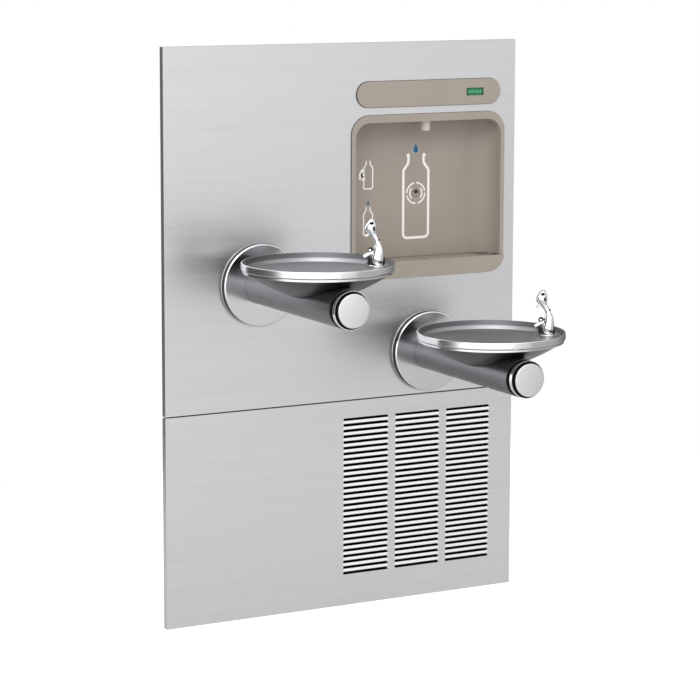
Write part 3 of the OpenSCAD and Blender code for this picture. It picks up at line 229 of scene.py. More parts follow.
# The tray is of the same ABS, scoured dull by cleaning, and shows next to no sheen
TRAY = finish("scoured_taupe_abs", "#A39A8F", "#AEA59A", (0.85, 0.95), SPARK, EVEN, 0.03, IOR=1.5,
              Specular_IOR_Level=0.06)
# Screen-printed inks: opaque, a little glossier than the plastic under them
WHITE_INK = finish("white_ink", "#FBF7F1", "#F6F2EC", (0.35, 0.45), SCREEN, EVEN, 0.002, IOR=1.5)
BLUE_INK = finish("blue_ink", "#1F5F86", "#22607F", (0.35, 0.45), SCREEN, EVEN, 0.002, IOR=1.5)
GREY_INK = finish("grey_ink", "#857C73", "#8B8279", (0.35, 0.45), SCREEN, EVEN, 0.002, IOR=1.5)
PALE_INK = finish("pale_blue_ink", "#B4C2C5", "#AFC0C4", (0.35, 0.45), SCREEN, EVEN, 0.002, IOR=1.5)
DARK_GREEN = finish("dark_green_ink", "#1B6A40", "#195C39", (0.35, 0.45), SCREEN, EVEN, 0.002, IOR=1.5)
LIT_DIGIT = finish("lit_digit", "#62B583", "#6ABC8A", (0.35, 0.45), SCREEN, EVEN, 0.002, IOR=1.5)
# Decorative chrome on brass: a mirror with the faintest orange peel
CHROME = finish("chromed_brass", "#E4E5E6", "#F2F2F3", (0.06, 0.10), POLISH, POLISH, 0.01, Metallic=1.0)
# Acetal from a polished mould: black with a clear highlight. The same black is also painted shade: on the
# lips' lower edges, in the hood's windows and in the tray's drain slot
BLACK_GLOSS_AND_SHADE = finish("black_acetal_and_painted_shade", "#0C0C0D", "#141415", (0.2, 0.3), SPARK, EVEN, 0.008, IOR=1.48)
# EPDM rubber: black, no highlight to speak of. The same black is also painted shade: the shadow gaps round
# the mouldings, the dark round each jet and the gap round each button cap
RUBBER_AND_SHADE = finish("black_rubber_and_painted_shade", "#0B0B0B", "#151515", (0.6, 0.75), GRAIN, EVEN, 0.05, IOR=1.5)
# Nylon with glass fibre: dark and slightly cloudy. The same dark is also painted shade on the louvres' cheeks
# and blade tips
DARK_AND_SHADE = finish("dark_nylon_and_painted_shade", "#1A1B1C", "#242526", (0.4, 0.55), SPARK, EVEN, 0.03, IOR=1.53)
# Polypropylene: milky white, or dyed blue, with a waxy sheen
WHITE = finish("white_polypropylene", "#DADAD5", "#E6E6E2", (0.35, 0.5), SPARK, EVEN, 0.03, IOR=1.49)
FILTER = finish("blue_polypropylene", "#27406E", "#2F4B80", (0.3, 0.42), SPARK, EVEN, 0.02, IOR=1.49)
# Natural acetal of the filling nozzle: warm pale grey
NOZZLE = finish("grey_acetal", "#BDB4AB", "#C9C1B8", (0.35, 0.45), SPARK, EVEN, 0.01, IOR=1.48)
# Baked powder and baked enamel on steel: even colour over orange peel
FRAME = finish("grey_powder_coat", "#6A6D70", "#74777A", (0.35, 0.5), PEEL, EVEN, 0.06, IOR=1.5)
ENAMEL = finish("black_enamel", "#131313", "#1D1D1D", (0.25, 0.4), PEEL, EVEN, 0.06, IOR=1.5)
# Solder mask over copper on a circuit board: dark green with a soft gloss
BOARD = finish("green_solder_mask", "#0F4A26", "#15592F", (0.25, 0.35), PEEL, EVEN, 0.01, IOR=1.5)
# Zinc plate on bolts, springs and brackets: grey with a blue cast
PLATED = finish("zinc_plate", "#B2B5B9", "#C6C8CB", (0.22, 0.34), DRAWN, DRAWN, 0.01, Metallic=1.0)
# Hot-dip galvanised sheet: matt grey, mottled by its spangle
GALVANISED = finish("galvanised_sheet", "#A3A7AA", "#B7BABD", (0.32, 0.48), SPANGLE, SPANGLE, 0.01,
                    Metallic=1.0)
# Thin aluminium fins pressed on the condenser's tubes: fine upright light and dark lines
FINS = finish("aluminium_fins", "#B4B6B9", "#D2D3D5", (0.25, 0.4), FIN_PITCH, FIN_CLOUD, 0.4, Metallic=1.0)
# Drawn copper pipe and machined brass, both slightly tarnished, so their colour is uneven
COPPER = finish("drawn_copper", "#B4734F", "#C98A63", (0.2, 0.32), DRAWN, TARNISH, 0.01, Metallic=1.0)
BRASS = finish("machined_brass", "#B79A5B", "#C8AC6C", (0.2, 0.3), DRAWN, TARNISH, 0.01, Metallic=1.0)
# Polished steel of the strainers: clear reflections with a slight blur
BRIGHT = finish("polished_steel", "#C9C9CB", "#DCDCDE", (0.12, 0.18), POLISH, EVEN, 0.006, Metallic=1.0)
# Back-lit display glass, green all over and a little glossy
LCD = finish("green_display", "#2B8652", "#35935C", (0.12, 0.2), SCREEN, GLASS_CLOUD, 0.001, IOR=1.5)

# Painted shade: what is seen through the slots lies in the cabinet's dark, so it is painted near black
# on the panel: the slots' cut edges, and the blades pressed in behind the sheet. The sheet's two faces stay
# bright. The field is in millimetres.
SHADOW = "#050505"
FIELD_LEFT, FIELD_RIGHT, FIELD_LOW, FIELD_TOP = -5.5, 420.0, -612.0, -218.5
SLOT_FIELD = [edge("X", 0, (FIELD_LEFT, FIELD_LEFT + 1)), edge("X", 0, (FIELD_RIGHT, FIELD_RIGHT - 1)),
              edge("Z", 0, (FIELD_LOW, FIELD_LOW + 1)), edge("Z", 0, (FIELD_TOP, FIELD_TOP - 1))]
CUT_EDGE = [edge("Y", FACE_Y, (0.2, 0.4)), edge("Y", FACE_Y + SHEET, (-0.05, -0.15))]
zone(PANEL, SLOT_FIELD + CUT_EDGE, SHADOW, 0.6)
zone(PANEL, SLOT_FIELD + [edge("Y", FACE_Y + SHEET, (0.05, 0.15))], SHADOW, 0.6)

BY_SLOT = {
    "panel_steel": PANEL, "taupe": TAUPE, "display": LCD, "circuit": BOARD, "nozzle_grey": NOZZLE,
    "black_gloss": BLACK_GLOSS_AND_SHADE, "dark_plastic": DARK_AND_SHADE, "white_plastic": WHITE,
    "copper_pipe": COPPER, "frame_steel": FRAME, "fasteners": PLATED, "galvanised": GALVANISED,
    "compressor_black": ENAMEL, "fins": FINS, "fan_plastic": DARK_AND_SHADE, "filter_blue": FILTER,
    "bright_steel": BRIGHT, "chrome": CHROME, "rubber": RUBBER_AND_SHADE, "valve_brass": BRASS,
}
SLOT_OF = {s["node"]: s["material_slot"] for s in frame["record"]["subparts"]}
RING_LONG = 10 * MM  # from the end ring's face to its neck
NECK_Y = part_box("left_ring")[0].y + RING_LONG

# Where a fountain's finishes change, each from and to, in millimetres: radii, heights from the rim
# down, and depths from the panel or the neck
BOWL_WALL, BOWL_RIM = (164.8, 166.5), (172.8, 173.4)
BAND_R, BAND_LOW, BAND_TOP = (165.5, 166.0), (-23.0, -22.4), (-17.2, -17.6)
GROOVE_R, GROOVE_LOW = (160.0, 160.5), (-17.6, -17.4)
COVER_R, COVER_FRONT, COVER_BACK = (98.0, 98.4), (-17.1, -16.8), (-1.0, -2.0)
NECK_END, BORE_R = (-0.4, -0.1), (43.2, 42.8)


def fountain_finishes(side):
    """The turned and spun steel of one fountain, each with its rings about its own axis, and with painted
    shade in the bowl, on the skirt, the arm, the cover plate's side and the end ring.
    """
    arm, bowl, rim = (arm_centre(side), 1), (basin_centre(side), 2), rim_height(side)
    # Spun bowl: scoured dull inside, painted darker than bare steel there and darker still up its wall as
    # painted shade, its rim polished to a mirror
    spun = finish(f"spun_bowl_painted_shade_{side}", "#8E8E91", "#98989B", (0.42, 0.5), LATHE_RING, EVEN, 0.006, bowl,
                  Metallic=1.0)
    zone(spun, [edge("R", 0, BOWL_WALL)], "#5A5A5D", 0.48, bowl)
    zone(spun, [edge("R", 0, BOWL_RIM)], "#DADADC", 0.19, bowl)
    # Skirt: a soft satin painted dark as painted shade, with its top band polished as the rim is and the
    # groove above it painted black as painted shade
    skirt = finish(f"spun_skirt_painted_shade_{side}", "#5C5C5F", "#656568", (0.32, 0.38), LATHE_RING, EVEN, 0.004, bowl,
                   Metallic=1.0)
    zone(skirt, [edge("R", 0, BAND_R), edge("Z", rim, BAND_LOW), edge("Z", rim, BAND_TOP)], "#D6D6D8", 0.19,
         bowl)
    zone(skirt, [edge("R", 0, GROOVE_R), edge("Z", rim, GROOVE_LOW)], "#0A0A0A", 0.6, bowl)
    # Arm: drawn tube, scoured to a dull satin that blurs what it mirrors, and painted a darker grey than bare
    # steel as painted shade
    tube = finish(f"scoured_arm_painted_shade_{side}", "#757578", "#7D7D80", (0.30, 0.35), SCOUR, EVEN, 0.003, Metallic=1.0)
    # Cover plate: turned and polished on its face, with painted shade round its side, which stands in its own
    # shadow gap
    cover = finish(f"turned_cover_painted_shade_{side}", "#CFCFD1", "#D8D8DA", (0.13, 0.19), LATHE_RING, EVEN, 0.004, arm,
                   Metallic=1.0)
    zone(cover, [edge("R", 0, COVER_R), edge("Y", FACE_Y, COVER_FRONT), edge("Y", FACE_Y, COVER_BACK)],
         "#262628", 0.4, arm)
    # End ring: turned and polished outside, with its face, neck and bore painted black as painted shade
    ring = finish(f"turned_ring_painted_shade_{side}", "#F0F0F1", "#F8F8F9", (0.10, 0.16), LATHE_RING, EVEN, 0.003, arm,
                  Metallic=1.0)
    zone(ring, [edge("Y", NECK_Y, NECK_END)], SHADOW, 0.5, arm)
    zone(ring, [edge("R", 0, BORE_R)], SHADOW, 0.5, arm)
    return {"basin": spun, "skirt": skirt, "arm": tube, "cover_plate": cover, "ring": ring}


# The CAD's nodes
def smooth_edges():
    """Geometry nodes that merge loose triangles and shade the slight edges smooth."""
    tree = bpy.data.node_groups.new("smooth_edges", "GeometryNodeTree")
    tree.interface.new_socket("Geometry", in_out="INPUT", socket_type="NodeSocketGeometry")
    tree.interface.new_socket("Geometry", in_out="OUTPUT", socket_type="NodeSocketGeometry")
    start = add(tree, "NodeGroupInput")
    merged = add(tree, "GeometryNodeMergeByDistance", Geometry=start.outputs[0], Distance=CAD_MERGE)
    faces = add(tree, "GeometryNodeSetShadeSmooth", {"domain": "FACE"}, Geometry=merged.outputs[0])
    angle = add(tree, "GeometryNodeInputMeshEdgeAngle")
    sharp = add(tree, "FunctionNodeCompare", {"data_type": "FLOAT", "operation": "GREATER_THAN"},
                in0=angle.outputs["Unsigned Angle"], in1=math.radians(SMOOTH_BELOW))
    edges = add(tree, "GeometryNodeSetShadeSmooth", {"domain": "EDGE"}, Geometry=faces.outputs[0],
                Selection=sharp.outputs[0], Shade_Smooth=False)
    add(tree, "NodeGroupOutput", Geometry=edges.outputs[0])
    return tree


SMOOTH = smooth_edges()


def level_faces(piece):
    """Large flat faces keep their own light beside a rounded edge."""
    level = piece.modifiers.new("level", "WEIGHTED_NORMAL")
    level.keep_sharp = True
    level.weight = 100


def soften(piece, width_mm):
    """Smooths a CAD node. Where it gets a width, its flat triangles are first dissolved and its edges
    rounded that wide."""
    if width_mm:
        weld = piece.modifiers.new("weld", "WELD")
        weld.merge_threshold = CAD_MERGE
        flat = piece.modifiers.new("flat", "DECIMATE")
        flat.decimate_type = "DISSOLVE"
        flat.angle_limit = math.radians(FLAT)
        rounding = piece.modifiers.new("rounding", "BEVEL")
        rounding.width = width_mm * MM
        rounding.segments = 2
        rounding.limit_method = "ANGLE"
        rounding.angle_limit = math.radians(ROUND_ABOVE)
    piece.modifiers.new("smooth", "NODES").node_group = SMOOTH
    level_faces(piece)


# Width of the rounding on the folded and moulded nodes whose edges catch the light
EDGE_MM = {
    "upper_panel": 0.6, "lower_panel": 0.3, "display_bar": 1.8, "alcove_housing": 1.2,
    "drip_tray": 1.6, "fill_nozzle": 0.6,
}


def dress_nodes():
    """Each node gets its finish: its fountain's own, or else its material slot's."""
    own = {side: fountain_finishes(side) for side in SIDES}
    for name, piece in NODES.items():
        side, _, kind = name.partition("_")
        made = own.get(side, {}).get(kind) or BY_SLOT.get(SLOT_OF[name], PLATED)
        if name == "drip_tray":
            made = TRAY
        piece.data.materials.clear()
        piece.data.materials.append(made)
        soften(piece, EDGE_MM.get(name, 0.0))


dress_nodes()


# Mesh helpers
def piece_of(mesh, name, material, body="station", smooth=True):
    """A finished bmesh becomes an object that rides on a body and has one material slot."""
    data = bpy.data.meshes.new(name)
    mesh.to_mesh(data)
    mesh.free()
    made = bpy.data.objects.new(name, data)
    bpy.context.scene.collection.objects.link(made)
    data.materials.append(material)
    if smooth:
        made.modifiers.new("smooth", "NODES").node_group = SMOOTH
        level_faces(made)
    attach(made, body)
    return made


def outline_face(mesh, points):
    """One face from corner points (x, z) in a plane that faces the front."""
    return mesh.faces.new([mesh.verts.new((x * MM, 0, z * MM)) for x, z in points])


def ring_points(x, z, radius, count, start=0.0, sweep=360.0):
    """Points (x, z) round a circle, or along a part of one, both ends included."""
    step = sweep / (count if sweep == 360.0 else count - 1)
    return [(x + radius * math.cos(math.radians(start + i * step)),
             z + radius * math.sin(math.radians(start + i * step))) for i in range(count)]


def rounded_corners(points, radii, steps=5):
    """The corners of an outline, each turned into an arc of its own radius, or left sharp at 0."""
    out = []
    for i, (corner, r) in enumerate(zip(points, radii)):
        if not r:
            out.append(corner)
            continue
        p = Vector(corner)
        a = (Vector(points[i - 1]) - p).normalized()
        b = (Vector(points[(i + 1) % len(points)]) - p).normalized()
        half = a.angle(b) / 2
        reach = r / math.tan(half)
        centre = p + (a + b).normalized() * (r / math.sin(half))
        start, end = p + a * reach - centre, p + b * reach - centre
        out += [tuple(centre + start.slerp(end, k / steps).normalized() * r) for k in range(steps + 1)]
    return out


def frame_line(mesh, points, width):
    """A closed outline of even width: a face, inset, with its middle taken away."""
    face = outline_face(mesh, points)
    face.normal_update()
    bmesh.ops.inset_region(mesh, faces=[face], thickness=width * MM, use_boundary=True, use_even_offset=True)
    bmesh.ops.delete(mesh, geom=[face], context="FACES_ONLY")


def thicken(mesh, depth_mm):
    """Gives flat faces that are square to Y their thickness, towards the front."""
    bmesh.ops.remove_doubles(mesh, verts=mesh.verts, dist=MERGE)
    bmesh.ops.recalc_face_normals(mesh, faces=mesh.faces)
    for face in mesh.faces:
        if face.normal.y > 0:
            face.normal_flip()
    bmesh.ops.solidify(mesh, geom=mesh.faces[:], thickness=-depth_mm * MM)
    bmesh.ops.recalc_face_normals(mesh, faces=mesh.faces)


def move(mesh, x=0.0, y=0.0, z=0.0):
    """Moves a whole mesh, in its own units."""
    bmesh.ops.translate(mesh, verts=mesh.verts, vec=(x, y, z))


def lathe(mesh, profile, steps=48):
    """Turns a profile of (radius, height) in millimetres round Z into a closed piece."""
    verts = [mesh.verts.new((r * MM, 0, z * MM)) for r, z in profile]
    edges = [mesh.edges.new(pair) for pair in zip(verts, verts[1:])]
    bmesh.ops.spin(mesh, geom=verts + edges, cent=(0, 0, 0), axis=(0, 0, 1), angle=2 * math.pi, steps=steps,
                   use_merge=True)
    bmesh.ops.remove_doubles(mesh, verts=mesh.verts, dist=MERGE)
    bmesh.ops.recalc_face_normals(mesh, faces=mesh.faces)


# Louvres, in millimetres, with the place of the lowest row's middle and of its right end
COLUMNS, ROWS = 3, 28
SLOT_W, SLOT_H, SLANT, PITCH, GAP = 125.5, 6.3, 4.5, 14.15, 18.5
GRILLE_RIGHT, GRILLE_LOW = 411.0, -606.0
LIP_OUT, LIP_SHADE = 0.9, 1.05
END_GAP, END_T = 0.3, 0.8
CHEEK_FRONT, CHEEK_BACK, CHEEK_DROP = 0.2, 14.0, 1.0
TIP_Y, TIP_DROP, TIP_RISE = 8.6, 8.0, 1.0


def louvre_lips():
    """Between two slots the sheet is pressed out into a lip that leans back and catches the light."""
    height = PITCH - SLOT_H
    mesh = bmesh.new()
    profile = [(0, 0), (-0.75 * LIP_OUT, 0.25), (-LIP_OUT, 1.0), (-0.93 * LIP_OUT, 1.8),
               (-0.12, height - 0.3), (0, height)]
    verts = [mesh.verts.new((0, y, SLOT_H / 2 + z)) for y, z in profile]
    end = mesh.faces.new(verts)
    pulled = bmesh.ops.extrude_face_region(mesh, geom=[end])["geom"]
    for v in [g for g in pulled if isinstance(g, bmesh.types.BMVert)]:
        v.co.x = SLOT_W - SLANT + SLANT * (v.co.z - SLOT_H / 2) / height
    bmesh.ops.recalc_face_normals(mesh, faces=mesh.faces)
    # Painted shade: the faces low on each lip take the second slot's black
    for face in mesh.faces:  # the lip's lower edge is black, as it lies in the slot's shadow
        face.material_index = int(max(v.co.z for v in face.verts) < SLOT_H / 2 + LIP_SHADE)
    one = mesh.verts[:] + mesh.edges[:] + mesh.faces[:]
    for column in range(COLUMNS):
        for row in range(ROWS - 1):
            if column or row:
                copy = bmesh.ops.duplicate(mesh, geom=one)["geom"]
                bmesh.ops.translate(mesh, verts=[g for g in copy if isinstance(g, bmesh.types.BMVert)],
                                    vec=(-column * (SLOT_W + GAP), 0, row * PITCH))
    move(mesh, GRILLE_RIGHT - SLOT_W, 0, GRILLE_LOW)
    bmesh.ops.scale(mesh, verts=mesh.verts, vec=(MM, MM, MM))
    move(mesh, y=FACE_Y)
    # The lips' steel is painted brighter than the panel's, a painted highlight
    made = piece_of(mesh, "louvre_lips", LIP_HIGHLIGHT_STEEL)
    # Second slot: black as painted shade on the lips' lower edges
    made.data.materials.append(BLACK_GLOSS_AND_SHADE)


def louvre_ends():
    """Each pressed louvre is closed at its right end by a small cheek of sheet, and the tip of its
    blade is turned down. Cheeks and tips are painted near black, as painted shade of the cabinet's dark."""
    mesh = bmesh.new()
    for column in range(COLUMNS):
        right = GRILLE_RIGHT - column * (SLOT_W + GAP) + END_GAP
        left = right - SLOT_W
        for row in range(ROWS):
            low = GRILLE_LOW + row * PITCH - SLOT_H / 2
            cheek = [(CHEEK_FRONT, low - CHEEK_DROP), (CHEEK_BACK, low - CHEEK_DROP),
                     (CHEEK_BACK, low + SLOT_H), (CHEEK_FRONT, low + SLOT_H)]
            mesh.faces.new([mesh.verts.new((right * MM, y * MM, z * MM)) for y, z in cheek])
            tip = [(left, low - TIP_DROP), (right, low - TIP_DROP), (right, low + TIP_RISE),
                   (left, low + TIP_RISE)]
            mesh.faces.new([mesh.verts.new((x * MM, TIP_Y * MM, z * MM)) for x, z in tip])
    bmesh.ops.solidify(mesh, geom=mesh.faces[:], thickness=END_T * MM)
    bmesh.ops.recalc_face_normals(mesh, faces=mesh.faces)
    move(mesh, y=FACE_Y)
    piece_of(mesh, "louvre_ends", DARK_AND_SHADE, smooth=False)


louvre_lips()
louvre_ends()


# Painted shadow gaps round the display bar and the alcove
SHADOW_GAP_W = 3.0
BEZEL_CORNER = 48.0


def box_outline(low, high, radius, grow):
    """The outline of a box seen from the front, in millimetres, with round corners and then grown."""
    x0, z0, x1, z1 = low.x / MM - grow, low.z / MM - grow, high.x / MM + grow, high.z / MM + grow
    return rounded_corners([(x0, z0), (x1, z0), (x1, z1), (x0, z1)], [radius + grow] * 4, 12)


def shadow_gap_strip(name, points, depth_mm):
    """A thin black strip round the joint between a moulding and the panel: the gap's painted shadow."""
    mesh = bmesh.new()
    frame_line(mesh, points, SHADOW_GAP_W)
    thicken(mesh, depth_mm)
    move(mesh, y=FACE_Y)
    piece_of(mesh, name, RUBBER_AND_SHADE, smooth=False)


bar_low, bar_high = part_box("display_bar")
bar_corner = (bar_high.z - bar_low.z) / MM / 2 - 0.05  # just under half its height, so no two arcs meet
shadow_gap_strip("bar_shadow_gap", box_outline(bar_low, bar_high, bar_corner, grow=0.9), 2.6)
bezel_low, bezel_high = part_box("alcove_housing")
bezel_low.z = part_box("drip_tray")[0].z
shadow_gap_strip("alcove_shadow_gap", box_outline(bezel_low, bezel_high, BEZEL_CORNER, grow=0.7), 1.8)


# Alcove signs: places of their middles, in millimetres, and the thickness of the print
SIGN_X, RINGS_Z = 229.5, 312.0
DROP_X, DROP_Z = SIGN_X - 1, 418.0
SMALL_X, HOLD_Z, FILL_Z = 96.0, 327.0, 214.0
INK_MM = 0.25


def sign(mesh, name, material, layer=0):
    """Print on the recess's back wall, a film thick."""
    thicken(mesh, INK_MM)
    move(mesh, y=RECESS_BACK - layer * INK_MM * MM)
    piece_of(mesh, name, material, smooth=False)


def bottle_sign(mesh, x, low, high, half, neck, shoulder, lip, line, mouth):
    """Bottle outline of one even line. half and neck are half widths, shoulder and lip heights, and
    the outline is cut open at the mouth, that far below its top."""
    right = [(half, low), (half, high - shoulder - lip), (neck, high - lip - 0.25 * shoulder), (neck, high)]
    corners = [(x + px, pz) for px, pz in right + [(-px, pz) for px, pz in reversed(right)]]
    radii = [0.36 * half, 0.4 * half, 0.25 * half, 0, 0, 0.25 * half, 0.4 * half, 0.36 * half]
    frame_line(mesh, rounded_corners(corners, radii), line)
    bmesh.ops.bisect_plane(mesh, geom=mesh.verts[:] + mesh.edges[:] + mesh.faces[:],
                           plane_co=(0, 0, (high - mouth) * MM), plane_no=(0, 0, 1), clear_outer=True)


def disc(mesh, x, z, radius, count):
    """A round face of so many corners."""
    outline_face(mesh, ring_points(x, z, radius, count))


def arc_line(mesh, x, z, radius, width, start, sweep):
    """Part of a ring of even width, with its ends square."""
    turn = math.radians(start)
    a, b = [mesh.verts.new(((x + r * math.cos(turn)) * MM, 0, (z + r * math.sin(turn)) * MM))
            for r in (radius - width / 2, radius + width / 2)]
    spoke = mesh.edges.new((a, b))
    bmesh.ops.spin(mesh, geom=[a, b, spoke], cent=(x * MM, 0, z * MM), axis=(0, -1, 0),
                   angle=math.radians(sweep), steps=max(6, int(sweep / 8)))


def drop_points(x, z, half, height):
    """Water drop: a round belly about (x, z) and a point above it."""
    rise = height - half
    lean = math.degrees(math.asin(half / rise))
    return ring_points(x, z, half, 17, 180 - lean, 180 + 2 * lean) + [(x, z + rise)]


def rectangle(mesh, x0, z0, x1, z1):
    """A face from its low left to its high right corner."""
    outline_face(mesh, [(x0, z0), (x1, z0), (x1, z1), (x0, z1)])


def alcove_signs():
    """A bottle, the sensor's rings and a drop above the mouth."""
    big = bmesh.new()
    bottle_sign(big, SIGN_X, low=199, high=414, half=38.5, neck=24.5, shoulder=24, lip=20, line=6.4, mouth=9)
    sign(big, "bottle_outline", WHITE_INK)
    lips = bmesh.new()
    for side in (-1, 1):
        disc(lips, SIGN_X + side * 22.3, 405, 4.8, 24)
    sign(lips, "bottle_mouth", WHITE_INK, 1)
    rings = bmesh.new()
    for start in (12, 102, 192, 282):
        arc_line(rings, SIGN_X, RINGS_Z, radius=25.5, width=3.6, start=start, sweep=76)
    for start in (135, -45):
        arc_line(rings, SIGN_X, RINGS_Z, radius=17.0, width=3.4, start=start, sweep=90)
    sign(rings, "sensor_rings", WHITE_INK)
    eye = bmesh.new()
    frame_line(eye, ring_points(SIGN_X, RINGS_Z, 11.5, 36), 5.0)
    sign(eye, "sensor_ground", GREY_INK)
    halo = bmesh.new()
    outline_face(halo, drop_points(DROP_X, DROP_Z, half=9.2, height=31.0))
    sign(halo, "drop_halo", PALE_INK)
    drop = bmesh.new()
    outline_face(drop, drop_points(DROP_X, DROP_Z, half=7.4, height=26.5))
    sign(drop, "drop", BLUE_INK, 1)


def small_bottle(name, low):
    """The bottle of a small sign, from its foot up."""
    lines = bmesh.new()
    bottle_sign(lines, SMALL_X, low, low + 74, half=14, neck=7, shoulder=12, lip=9, line=3.2, mouth=4)
    sign(lines, f"sign_{name}_bottle", WHITE_INK)


def instruction_signs():
    """Two small generic signs: hold the bottle in, and wait while it fills."""
    small_bottle("hold", HOLD_Z)
    hand = bmesh.new()
    for k in range(3):  # fingers, and then the palm beside them
        disc(hand, SMALL_X - 16.5 + 1.2 * k, HOLD_Z + 44 - 8.5 * k, 5.6, 16)
    disc(hand, SMALL_X - 23.5, HOLD_Z + 33, 8.5, 20)
    sign(hand, "sign_hold_mark", WHITE_INK, 1)
    small_bottle("fill", FILL_Z)
    water = bmesh.new()
    for k in range(3):  # bars of water, one above the other
        foot = FILL_Z + 8 + 9 * k
        rectangle(water, SMALL_X - 7.5, foot, SMALL_X + 7.5, foot + 5)
    sign(water, "sign_fill_mark", PALE_INK, 1)
    drop = bmesh.new()
    outline_face(drop, drop_points(SMALL_X, FILL_Z + 78, half=3.4, height=11.0))
    sign(drop, "sign_fill_drop", BLUE_INK)


# The tray's edge and drain slot, in millimetres: how far the edge stands in at the tray's left and
# out at its right, its foot and top, and the slot's size and middle
UPSTAND_IN, UPSTAND_OUT, UPSTAND_LOW, UPSTAND_TOP, UPSTAND_T = 4.0, 12.0, 140.0, 166.0, 1.0
DRAIN_W, DRAIN_D, DRAIN_T, DRAIN_CORNER = 34.0, 7.0, 0.6, 3.2
DRAIN_X, DRAIN_FORWARD = 247.0, 7.5
CLEAR = 0.2 * MM


def tray_upstand():
    """The tray's back edge, turned up behind the recess's wall."""
    low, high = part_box("drip_tray")
    mesh = bmesh.new()
    rectangle(mesh, low.x / MM + UPSTAND_IN, UPSTAND_LOW, high.x / MM + UPSTAND_OUT, UPSTAND_TOP)
    thicken(mesh, UPSTAND_T)
    move(mesh, y=RECESS_BACK + WALL_T + CLEAR)
    piece_of(mesh, "tray_upstand", TRAY, smooth=False)


def tray_drain():
    """A thin black plate on the tray's floor, along the recess's back wall: painted shade of the slot that
    drains the tray.
    """
    floor_z = max(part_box("drip_tray")[0].z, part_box("alcove_drain")[1].z)
    mesh = bmesh.new()
    bmesh.ops.create_cube(mesh, size=1.0)
    upright = [e for e in mesh.edges if e.verts[0].co.z != e.verts[1].co.z]
    bmesh.ops.scale(mesh, verts=mesh.verts, vec=(DRAIN_W * MM, DRAIN_D * MM, DRAIN_T * MM))
    bmesh.ops.bevel(mesh, geom=upright, affect="EDGES", offset=DRAIN_CORNER * MM, segments=5, profile=0.5,
                    material=-1)
    move(mesh, DRAIN_X * MM, RECESS_BACK - DRAIN_FORWARD * MM, floor_z + CLEAR)
    piece_of(mesh, "tray_drain_slot_shade", BLACK_GLOSS_AND_SHADE, smooth=False)


alcove_signs()
instruction_signs()
tray_upstand()
tray_drain()


# Display: the lit bars of each digit, and a digit's size and step in millimetres
SEGMENTS = {"0": "abcdef", "2": "abged", "3": "abgcd", "4": "fgbc", "6": "afgedc"}
DIGIT_W, DIGIT_HALF_H, DIGIT_BAR, DIGIT_STEP, BAR_GAP = 4.0, 4.2, 0.9, 7.5, 0.3


def display_digits():
    """Counter digits lit on the green window, and its dark frame."""
    low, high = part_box("display_window")
    centre = middle("display_window") / MM
    mesh = bmesh.new()
    half_w, quarter_h = DIGIT_W / 2, DIGIT_HALF_H / 2
    bars = {"a": (0, 2 * quarter_h), "g": (0, 0), "d": (0, -2 * quarter_h), "f": (-half_w, quarter_h),
            "b": (half_w, quarter_h), "e": (-half_w, -quarter_h), "c": (half_w, -quarter_h)}
    for i, digit in enumerate("02463"):
        for bar in SEGMENTS[digit]:
            along, up = bars[bar]
            if bar in "agd":
                dx, dz = half_w - BAR_GAP, DIGIT_BAR / 2
            else:
                dx, dz = DIGIT_BAR / 2, quarter_h - BAR_GAP
            x, z = centre.x + DIGIT_STEP * (i - 2) + along, centre.z + up
            rectangle(mesh, x - dx, z - dz, x + dx, z + dz)
    thicken(mesh, 0.1)
    move(mesh, y=low.y)
    piece_of(mesh, "display_digits", LIT_DIGIT, smooth=False)
    rim = bmesh.new()
    frame_line(rim, box_outline(low, high, radius=0.5, grow=1.0), 5.0)
    thicken(rim, 0.3)
    move(rim, y=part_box("display_bar")[0].y)
    piece_of(rim, "display_rim", DARK_GREEN, smooth=False)


display_digits()


# Bubblers
def loft(mesh, rings, sides):
    """Oval rings (u, z, lean in degrees, half width along u, half width across) joined into a skin."""
    loops = []
    for u, z, lean, a, b in rings:
        at = (Matrix.Translation((u * MM, 0, z * MM)) @ Matrix.Rotation(math.radians(lean), 4, "Y")
              @ Matrix.Diagonal((a * MM, b * MM, 1, 1)))
        made = bmesh.ops.create_circle(mesh, cap_ends=False, segments=sides, radius=1.0, matrix=at)
        loops.append(list({e for v in made["verts"] for e in v.link_edges}))
    for lower, upper in zip(loops, loops[1:]):
        bmesh.ops.bridge_loops(mesh, edges=lower + upper)
    for end in (loops[0], loops[-1]):
        bmesh.ops.contextual_create(mesh, geom=end)
    bmesh.ops.recalc_face_normals(mesh, faces=mesh.faces)


# The bubbler stands on the basin's deck, this far from the basin's middle, and looks back at it
BUBBLER_TURN = math.radians(-30)
BUBBLER_REACH, DECK_DROP = 135.0 * MM, 8.0 * MM
